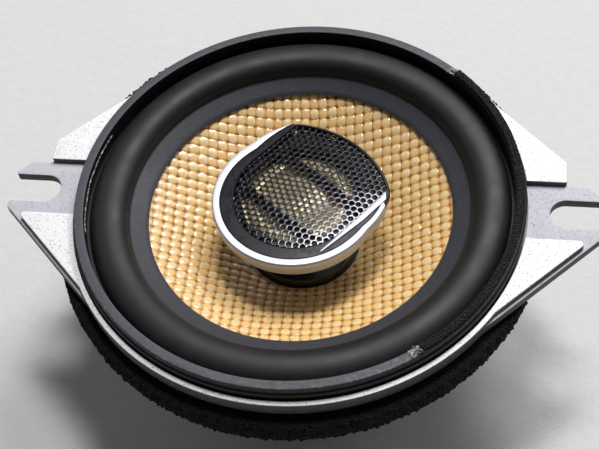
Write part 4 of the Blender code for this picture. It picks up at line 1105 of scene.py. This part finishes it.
def blended_sectors(name, centre_line, thickness, material, node, per_sector):
    """A flexible ring built as equal sectors, each turned from one profile, with smooth normals on its faces and
    flat ones on its two cut ends.
    """
    profile, slopes = band(centre_line, thickness)
    for k in range(SECTORS):
        low, high = k * TAU / SECTORS, (k + 1) * TAU / SECTORS
        points, faces = revolve(profile, per_sector, low, high)
        mesh = new_mesh(f"{name}_{k + 1:02d}", points, faces)
        shade(mesh, 50)
        smooth = turn_rows(slopes, np.linspace(low, high, per_sector + 1))
        rows = [[smooth[v] for v in face] for face in faces[:-2]]
        for side, sign in ((low, 1), (high, -1)):
            rows.append([(sign * math.sin(side), -sign * math.cos(side), 0.0)] * len(profile))
        if mesh.polygons[0].normal @ Vector(rows[0][0]) < 0:
            mesh.flip_normals()
            rows = [row[:1] + row[:0:-1] for row in rows]
        mesh.normals_split_custom_set([tuple(normal) for row in rows for normal in row])
        piece = link(mesh.name, mesh, material)
        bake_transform(piece)
        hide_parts(node)


def make_surround():
    lift = 0.84
    lip = [(r, cone_height(r) + lift) for r in np.linspace(36.07, 40.0, 10)]
    lip[0] = (36.05, cone_height(36.05) + lift - 0.18)
    inner_z, outer_z = cone_height(40.3) + lift, SEAT + SHEET
    roll = []
    for angle in np.linspace(math.pi, 0, 34):
        across = math.cos(angle)
        foot = (inner_z + outer_z) / 2 + across * (outer_z - inner_z) / 2
        roll.append((44.6 + 4.3 * across, foot + (48.1 - foot) * math.sin(angle) ** 0.8))
    rim = [(r, outer_z) for r in (49.3, 50.1, 51.5, 52.5)]
    line = respaced(np.array(lip + roll + rim), 96)
    for _ in range(3):
        line[1:-1] = (line[:-2] + 2 * line[1:-1] + line[2:]) / 4
    blended_sectors("surround", line, 0.56, RUBBER, "surround", 12)


def make_spider():
    line = [(12.95, 25.2), (13.3, 25.6), (13.9, SPIDER_Z)]
    for t in np.linspace(0, 1, 61):
        wave = 0.62 * math.sin(t * 5 * TAU) * min(1, 6 * t, 6 * (1 - t))
        line.append((14.6 + 12.0 * t, SPIDER_Z + wave))
    line += [(r, SPIDER_Z) for r in (27.4, 29.0, 31.2)]
    blended_sectors("spider", line, 0.3, CLOTH, "spider", 10)


def make_coil():
    tube_corners = [(12.3, 30.0, 0.08), (12.6, 30.0, 0.08), (12.6, 14.2, 0.08), (12.3, 14.2, 0.08)]
    former = lathed("coil_former", tube_corners, 4, FOIL, 120)
    rides(former, MOVER, ["voice_coil_former"])
    collar = [(12.65, 28.6, 0), (14.1, 28.9, 0.2), (13.3, 27.6, 0.2), (13.2, 26.4, 0.2)]
    collar += [(14.2, 25.95, 0.2), (12.65, 25.9, 0)]
    rides(lathed("neck_glue", collar, 5, DARK, 120), MOVER)
    pitch, turns = 0.25, 36
    top = 19.1 + 4.5 - 0.15
    profile = [(12.7, top + 0.12)]
    for k in range(turns):
        profile += [polar(0.125, math.radians(a), (13.34, top - k * pitch)) for a in np.linspace(80, -80, 5)]
    profile.append((12.7, top - turns * pitch + 0.13))
    rides(turned("coil_winding", profile, WINDING, 96, 50), MOVER, ["voice_coil"])


def make_tinsel():
    """Two flexible leads, each of four strands wound round one path."""
    bends = [(3.6, 15.4, 28.3), (5.0, 20.0, 27.6), (7.4, 28.0, 28.2)]
    bends += [(9.2, 36.0, 31.4), (TAB_X, 41.5, 31.4), (TAB_X, 44.8, 29.0)]
    for side, word in ((-1, "positive"), (1, "negative")):
        path = smooth_path([(side * x, y, z) for x, y, z in bends], 0.3)
        along = unit_rows(np.gradient(path, axis=0))
        first = unit_rows(np.cross(along, (0.0, 0.0, 1.0)))
        second = np.cross(along, first)
        strands = []
        for k in range(4):
            turn = np.arange(len(path)) * 0.42 + k * TAU / 4
            strand = path + 0.26 * (first * np.cos(turn)[:, None] + second * np.sin(turn)[:, None])
            strands.append(tube_mesh(strand, 0.24, 7))
        lead = solid(f"tinsel_{word}", *joined(strands), BRAID, 70)
        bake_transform(lead)
        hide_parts(f"tinsel_lead_{word}")


# ------------------------------------------------------------------ motor and terminals


def make_motor():
    corners = [(4.3, 22.0, 0.3), (11.8, 22.0, 0.6), (11.8, 4.5, 0.5), (32.5, 4.5, 0.6)]
    corners += [(32.5, 0.0, 0.8), (4.3, 0.0, 0.5)]
    yoke = lathed("back_plate_and_pole", corners, 6, POLE, 160)
    channel = block("channel", (-2.2, 0, -1), (2.2, 34.5, 2.3), TURNED_STEEL)
    groove = [(29.2, -1.0), (29.8, -1.0), (29.8, 0.35), (29.5, 0.5), (29.2, 0.35)]
    combine(yoke, [channel, turned("groove", groove, TURNED_STEEL, 160)], "DIFFERENCE")
    rides(yoke, SHELL, ["yoke"])
    corners = [(17.0, 16.8, 0.3), (35.0, 16.8, 0.9), (35.0, 4.8, 0.9), (17.0, 4.8, 0.3)]
    rides(lathed("ferrite_magnet", corners, 6, FERRITE, 200), SHELL, ["magnet"])
    corners = [(14.1, 21.1, 0.3), (32.5, 21.1, 0.5), (32.5, 17.1, 0.5), (14.1, 17.1, 0.3)]
    top = lathed("front_plate", corners, 6, TURNED_STEEL, 160)
    combine(top, screw_holes((16.9, 19, 22), STEEL), "DIFFERENCE")
    rides(top, SHELL, ["top_plate"])
    corners = [(0, 24.25, 0), (1.7, 24.2, 0.4), (2.25, 23.7, 0.2), (2.25, 23.2, 0.1), (1.4, 23.2, 0.1)]
    corners += [(1.4 - 0.16 * (k % 2), 23.0 - 0.22 * k, 0) for k in range(24)] + [(0, 17.7, 0)]
    for i, (x, y) in enumerate(SCREWS):
        screw = lathed(f"screw_{i + 1}", corners, 5, STEEL, 32)
        cross = []
        for wide, deep in ((1.15, 0.2), (0.2, 1.15)):
            cross.append(block("slot", (-wide, -deep, 23.5), (wide, deep, 25), STEEL))
        combine(screw, cross, "DIFFERENCE")
        screw.data.transform(Matrix.Translation((x * MM, y * MM, 0)))
        rides(screw, SHELL, [f"frame_screw_{i + 1}"])


def laid(y, z, turn, axis):
    """A quarter turn about an axis, in the direction of turn's sign, and then a move to this Y and Z."""
    return Matrix.Translation((0, y * MM, z * MM)) @ Matrix.Rotation(turn * math.pi / 2, 4, axis)


def make_terminals():
    outline = rounded([(-14, 24.5, 1.5), (14, 24.5, 1.5), (14, 35.2, 1.5), (-14, 35.2, 1.5)])
    board = plate("terminal_card", [outline], -0.8, 0.8, BOARD, 0.18, laid(46.4, 0, 1, "X"))
    combine(board, rivet_holes((44, 46, 48.5), BOARD), "DIFFERENCE")
    rides(board, SHELL, ["terminal_board"])
    corners = [(0, 1.25, 0), (1.1, 1.15, 0.6), (1.9, 0.6, 0.2), (1.9, 0.3, 0.05)]
    corners += [(1.1, 0.3, 0.05), (1.1, -6.5, 0.1), (0, -6.5, 0)]
    for word, height in RIVETS.items():
        rivet = lathed(f"rivet_{word}", corners, 6, STEEL, 32)
        rivet.data.transform(laid(BOARD_FACE, height, -1, "X"))
        rides(rivet, SHELL, [f"terminal_rivet_{word}"])
    for word, side, width, thick, joint_z in (("positive", -1, 6.3, 0.8, 30.6), ("negative", 1, 4.8, 0.5, 27.6)):
        left, right = side * TAB_X - width / 2, side * TAB_X + width / 2
        corners = [(left + 1.0, 16.0, 0.2), (right - 1.0, 16.0, 0.2), (right, 17.2, 0.3)]
        corners += [(right, 33.0, 0.8), (left, 33.0, 0.8), (left, 17.2, 0.3)]
        hole = arc(0.9, 0, TAU, 25, (side * TAB_X, 19.2))[:-1]
        lay = laid(BOARD_FACE + GAP + thick / 2, 0, 1, "X")
        blade = plate(f"blade_{word}", [rounded(corners), hole], -thick / 2, thick / 2, TIN, 0.12, lay)
        rides(blade, SHELL, [f"terminal_{word}"])
        rows, sides, points = 9, 20, []
        for t in np.linspace(0, 1, rows):
            size = 1.5 * math.sqrt(max(0.02, 1 - t * t))
            for a in np.linspace(0, TAU, sides, endpoint=False):
                x, z = polar(size * (1 + 0.08 * math.sin(3 * a + side)), a, (side * TAB_X, joint_z))
                points.append((x, BOARD_FACE + GAP + thick + 0.75 * t, z))
        rides(solid(f"solder_{word}", points, skin_faces(rows, sides), NICKEL, 60), SHELL)


def make_capacitor():
    end = 5.6
    corners = [(0, end - 0.25, 0), (2.5, end - 0.25, 0.15), (2.75, end, 0.2), (3.35, end, 0.3)]
    corners += [(3.5, end - 0.9, 0.3), (3.28, end - 1.5, 0.35), (3.5, end - 2.1, 0.3), (3.5, -end + 0.5, 0.4)]
    corners += [(3.0, -end, 0.3), (2.6, -end, 0.1), (2.5, -end + 0.25, 0.1), (0, -end + 0.25, 0)]
    can = lathed("crossover_can", corners, 6, SLEEVE, 96)
    can.data.transform(laid(CAN_Y, CAN_Z, 1, "Y"))
    rides(can, SHELL, ["crossover_capacitor"])
    route = [(-5.7, CAN_Y, CAN_Z), (-7.2, CAN_Y, CAN_Z), (-8.6, 51.0, CAN_Z), (-TAB_X, 49.0, 30.2)]
    wire = tube("capacitor_wire", smooth_path(route, 0.4), 0.34, 10, COPPER, 60)
    rides(wire, SHELL, ["capacitor_lead"])


def make_tweeter_leads():
    """Two wires from the tweeter down the stalk, along the yoke's channel and up to the terminals."""
    below = [(37.7, 0.0), (30.0, 0.0), (20.0, 0.0), (10.0, 0.0), (4.0, 0.2), (1.6, 1.4), (1.2, 5.0)]
    below += [(1.2, 16.0), (1.2, 28.0), (1.3, 34.0), (3.2, 36.4), (8.0, 36.6), (14.0, 36.6), (18.5, 37.6)]
    negative = [(1.6, 41.5, 21.4), (3.6, 47.6, 21.8), (7.4, 50.4, 23.6), (TAB_X, 49.2, 27.0)]
    positive = [(-0.6, 42.0, 21.2), (1.0, 49.0, 21.8), (5.2, 52.2, 23.6), (8.0, CAN_Y, 26.6)]
    positive += [(7.6, CAN_Y, 29.2), (5.9, CAN_Y, CAN_Z)]
    for word, x, above, material, slot in (
        ("negative", 0.9, negative, DARK, "wire_black"),
        ("positive", -0.9, positive, RED, "wire_red"),
    ):
        path = smooth_path([(x, y, z) for z, y in below] + above, 0.5)
        lead = tube(f"tweeter_wire_{word}", path, 0.5, 14, material, 60)
        rides(lead, SHELL, [f"tweeter_lead_{word}"])


# ------------------------------------------------------------------ tweeter


def trim_width(angles):
    """Width of the silver trim's top face: pointed at its start, wider on that side, and blunt at its end."""
    degrees = np.degrees(angles)
    grow = 1 - (1 - np.clip((degrees - TRIM_START) / 42, 0, 1)) ** 2
    wide = 2.3 - 0.5 * np.clip((degrees - 75) / 60, 0, 1) - 0.5 * np.clip((degrees - 268) / 28, 0, 1)
    return np.maximum(0.12, grow * wide)


def make_trim():
    sections = []
    angles = np.linspace(math.radians(TRIM_START), math.radians(TRIM_END), 260)
    for angle, width in zip(angles, trim_width(angles)):
        inner = max(width, 0.5)
        corners = [(0.85, 43.4, 0), (0.4, 44.4, 0.9), (0.03, 46.6, 1.2), (0.0, 47.75, 0.2)]
        if width < 0.5:
            corners += [(width * 0.55, 47.95, 0.03), (width * 0.9, 47.9, 0.02)]
        else:
            corners += [(0.32, 48.12, 0.15), (width - 0.02, 48.12, 0.06)]
        corners += [(max(width, 0.34), 47.6, 0.02), (max(inner, 1.7), 46.6, 0.1), (max(inner, 1.9), 43.4, 0)]
        ending = min(1.0, max(0.0, (math.degrees(angle) - 284) / 17))
        skew = math.radians(3.9) * ending * ending * (3 - 2 * ending)
        section = []
        for inset, z in rounded(corners, 5, True):
            turned_to = angle + skew * inset
            section.append(at_nose(turned_to, float(shield_radius(turned_to, inset)), z))
        sections.append(section)
    rides(lofted("trim_ring", sections, SILVER, smooth=40), SHELL, ["tweeter_trim"])


def bezel_outer(angles):
    """Inset of the bezel's outer edge: under the trim where there is one, and the outline's own edge at the nose."""
    degrees = np.degrees(angles)
    inside = (degrees >= TRIM_START) & (degrees <= TRIM_END)
    return np.where(inside, np.maximum(trim_width(angles) + 0.03, 0.3), 0.3)


def make_bezel():
    sections = []
    angles = np.linspace(0, TAU, 420, endpoint=False)
    for angle, inset, inner in zip(angles, bezel_outer(angles), mesh_radius(angles)):
        outer = float(shield_radius(angle, inset))
        width = max(outer - inner, 0.3)
        soft = min(0.25, width * 0.3)
        corners = [(outer, 46.4, 0), (outer, 47.75, soft), (outer - soft, 47.98, min(soft * 0.5, 0.3))]
        corners += [(inner + min(0.4, width * 0.4), 47.96, 0.1), (inner + min(0.2, width * 0.2), 48.04, 0.08)]
        corners += [(inner - 0.02, 47.7, 0.08), (inner - 0.02, 47.3, 0.05), (inner + 0.05, 46.4, 0)]
        sections.append([at_nose(angle, r, z) for r, z in rounded(corners, 4, True)])
    rides(lofted("bezel", sections, BLACK, wrap=True, smooth=50), SHELL, ["tweeter_bezel"])


def make_accent():
    corners = [(-8.0, -15.25, 0.1), (12.6, -15.15, 0.6), (14.1, -14.85, 0.12)]
    corners += [(12.3, -16.45, 0.12), (4.5, -16.6, 3.0), (-8.2, -15.6, 0.1)]
    bar = plate("accent_slash", [from_nose(rounded(corners, 6))], RIM - 0.1, RIM + 0.35, SILVER, 0.1)
    rides(bar, SHELL, ["tweeter_accent"])


def grille_height(x, y):
    """Height of the perforated sheet over the plane: a low dome whose edge dips under the bezel."""
    share = np.clip(np.hypot(x, y) / mesh_radius(np.arctan2(y, x)), 0, 1.1)
    return RIM - 0.28 + 0.5 * (1 - share**2.6)


def grille_cells(hole=0.57, lip=0.7, thick=0.28):
    """Points and faces of a flat sheet of hexagons with a lipped hole in each, closed round its outside."""
    pitch = 1.61
    row = pitch * math.sqrt(3) / 2
    corners = [polar(pitch / math.sqrt(3), math.radians(60 * k + 30)) for k in range(6)]
    hexagon = []
    for a, b in zip(corners, corners[1:] + corners[:1]):
        hexagon += [a, ((a[0] + b[0]) / 2, (a[1] + b[1]) / 2)]
    hexagon = np.array(hexagon)
    around = np.arctan2(hexagon[:, 1], hexagon[:, 0])
    circle = np.stack([np.cos(around), np.sin(around)], axis=1)
    levels = [(hexagon, 0.0), (circle * lip, 0.02), (circle * (lip - 0.05), 0.0), (circle * (hole + 0.03), -0.06)]
    levels += [(circle * hole, -0.14), (circle * hole, -thick), (hexagon, -thick)]
    numbers, merged, faces = {}, [], []

    def number(point):
        key = tuple(round(c, 4) for c in point)
        if key not in numbers:
            numbers[key] = len(merged)
            merged.append(point)
        return numbers[key]

    for j in range(-15, 16):
        for i in range(-15, 16):
            u, v = (i + 0.5 * (j % 2)) * pitch, j * row
            if math.hypot(u, v) >= float(mesh_radius(np.array(math.atan2(v, u)))) + 1.2:
                continue
            rings = [[number((u + x, v + y, z)) for x, y in outline] for outline, z in levels]
            for upper, lower in zip(rings, rings[1:]):
                for k in range(12):
                    m = (k + 1) % 12
                    faces.append((upper[k], upper[m], lower[m], lower[k]))
    edges = dict.fromkeys(edge for face in faces for edge in zip(face, face[1:] + face[:1]))
    under = {}
    for top, (x, y, z) in enumerate(merged):
        if z == 0.0:
            under[top] = numbers.get((round(x, 4), round(y, 4), round(-thick, 4)))
    for a, b in edges:
        if (b, a) not in edges and under.get(a) is not None and under.get(b) is not None:
            faces.append((b, a, under[a], under[b]))
    return merged, faces


def make_grille():
    """The perforated sheet, cut to its outline while flat and then domed and turned to the nose."""
    angles = np.linspace(0, TAU, 150, endpoint=False)
    outline = [polar(r, a) for r, a in zip(mesh_radius(angles) - 0.03, angles)]
    sheet = solid("grille_sheet", *grille_cells(), GRILLE, 60)
    combine(sheet, [plate("cutter", [outline], -3.0, 3.0, GRILLE)], "INTERSECT", 60)
    points = points_of(sheet.data)
    points[:, 2] += grille_height(points[:, 0] / MM, points[:, 1] / MM) * MM
    c, s = math.cos(NOSE), math.sin(NOSE)
    points[:, :2] = points[:, :2] @ np.array([[c, s], [-s, c]])
    move_points(sheet.data, points)
    shade(sheet.data, 60)
    rides(sheet, SHELL, ["tweeter_grille"])


def make_guard():
    corners = [(13.4, 47.35, 0.2), (14.6, 47.35, 0.25), (14.6, 45.5, 0.1), (13.4, 45.5, 0.2)]
    ring = lathed("guard", corners, 5, BLACK, 140)
    bars = []
    for side in (1, -1):
        turns = np.linspace(-math.pi / 2, math.pi / 2, 25)
        line = [(side * (5.6 + 1.2 * math.cos(t)), 13.7 * math.sin(t)) for t in turns]
        bar = [(u + 1.15, v) for u, v in line] + [(u - 1.15, v) for u, v in line[::-1]]
        bars.append(plate("bar", [from_nose(bar)], 46.5, 47.3, BLACK, 0.2))
    combine(ring, bars, "UNION")
    rides(ring, SHELL, ["tweeter_guard"])


def make_housing():
    sections = []
    angles = np.linspace(0, TAU, 240, endpoint=False)
    degrees = np.degrees(angles)
    clear = np.clip(np.minimum(degrees - 41, 307 - degrees) / 6, 0, 1)
    for inset, z in ((4.6, 42.9), (3.7, 42.95), (3.2, 43.25), (2.9, 43.8), (2.5, 45.0), (2.05, 46.35)):
        flare = (1 - clear) * 0.95 * max(0.0, (z - 43.8) / 2.55)
        radii = shield_radius(angles, inset) + flare
        sections.append([at_nose(a, r, z) for a, r in zip(angles, radii)])
    body = lofted("tweeter_shell", sections, BLACK)
    hub = [(4.3, 44.0, 0), (12.4, 44.0, 0), (12.4, 36.4, 1.2), (7.2, 36.4, 0.8), (6.6, 33.5, 0.5), (4.3, 33.5, 0.2)]
    combine(body, [lathed("hub", hub, 6, BLACK, 120)], "UNION")
    cavity = [(0, 49.5), (15.0, 49.5), (15.0, 45.2), (13.9, 45.2), (13.9, 44.25)]
    cavity += [(11.1, 44.25), (11.1, 37.9), (4.3, 37.9), (4.3, 32.0), (0, 32.0)]
    combine(body, [turned("cavity", cavity, BLACK, 120)], "DIFFERENCE")
    rides(body, SHELL, ["tweeter_housing"])


def make_dome():
    cap_r, rise = 8.6, 2.3
    ball = (cap_r**2 + rise**2) / (2 * rise)
    line = [(r, 44.9 + rise - ball + math.sqrt(ball**2 - r * r)) for r in np.linspace(0.0, cap_r, 20)]
    for angle in np.linspace(math.pi, 0, 16)[1:]:
        line.append((10.6 + 1.8 * math.cos(angle), 44.75 + 1.2 * math.sin(angle)))
    line.append((13.4, 44.75))
    profile, _ = band(line, 0.2)
    profile[0, 0] = profile[-1, 0] = 0.0
    rides(turned("dome", profile, GOLD, 160, 50), DIAPHRAGM, ["tweeter_dome"])


def make_stalk():
    corners = [(2.2, 37.5, 0.3), (4.0, 37.5, 0.4), (4.0, 3.0, 0.3), (2.2, 3.0, 0.3)]
    rides(lathed("stalk", corners, 5, STALK, 64), SHELL, ["tweeter_stalk"])


def finish_carried_nodes():
    finishes = {"coil": WINDING, "magnet": NICKEL, "pole_plate": STEEL, "yoke": STEEL}
    for node, material in finishes.items():
        paint(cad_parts[f"tweeter_{node}"].data, material)


make_camera()
make_light()
make_floor()
make_frame()
make_front_ring()
make_foam_strip()
make_rear_foam()
make_adhesive()
make_cone()
make_surround()
make_spider()
make_coil()
make_tinsel()
make_motor()
make_terminals()
make_capacitor()
make_tweeter_leads()
make_trim()
make_bezel()
make_accent()
make_grille()
make_guard()
make_housing()
make_dome()
make_stalk()
finish_carried_nodes()
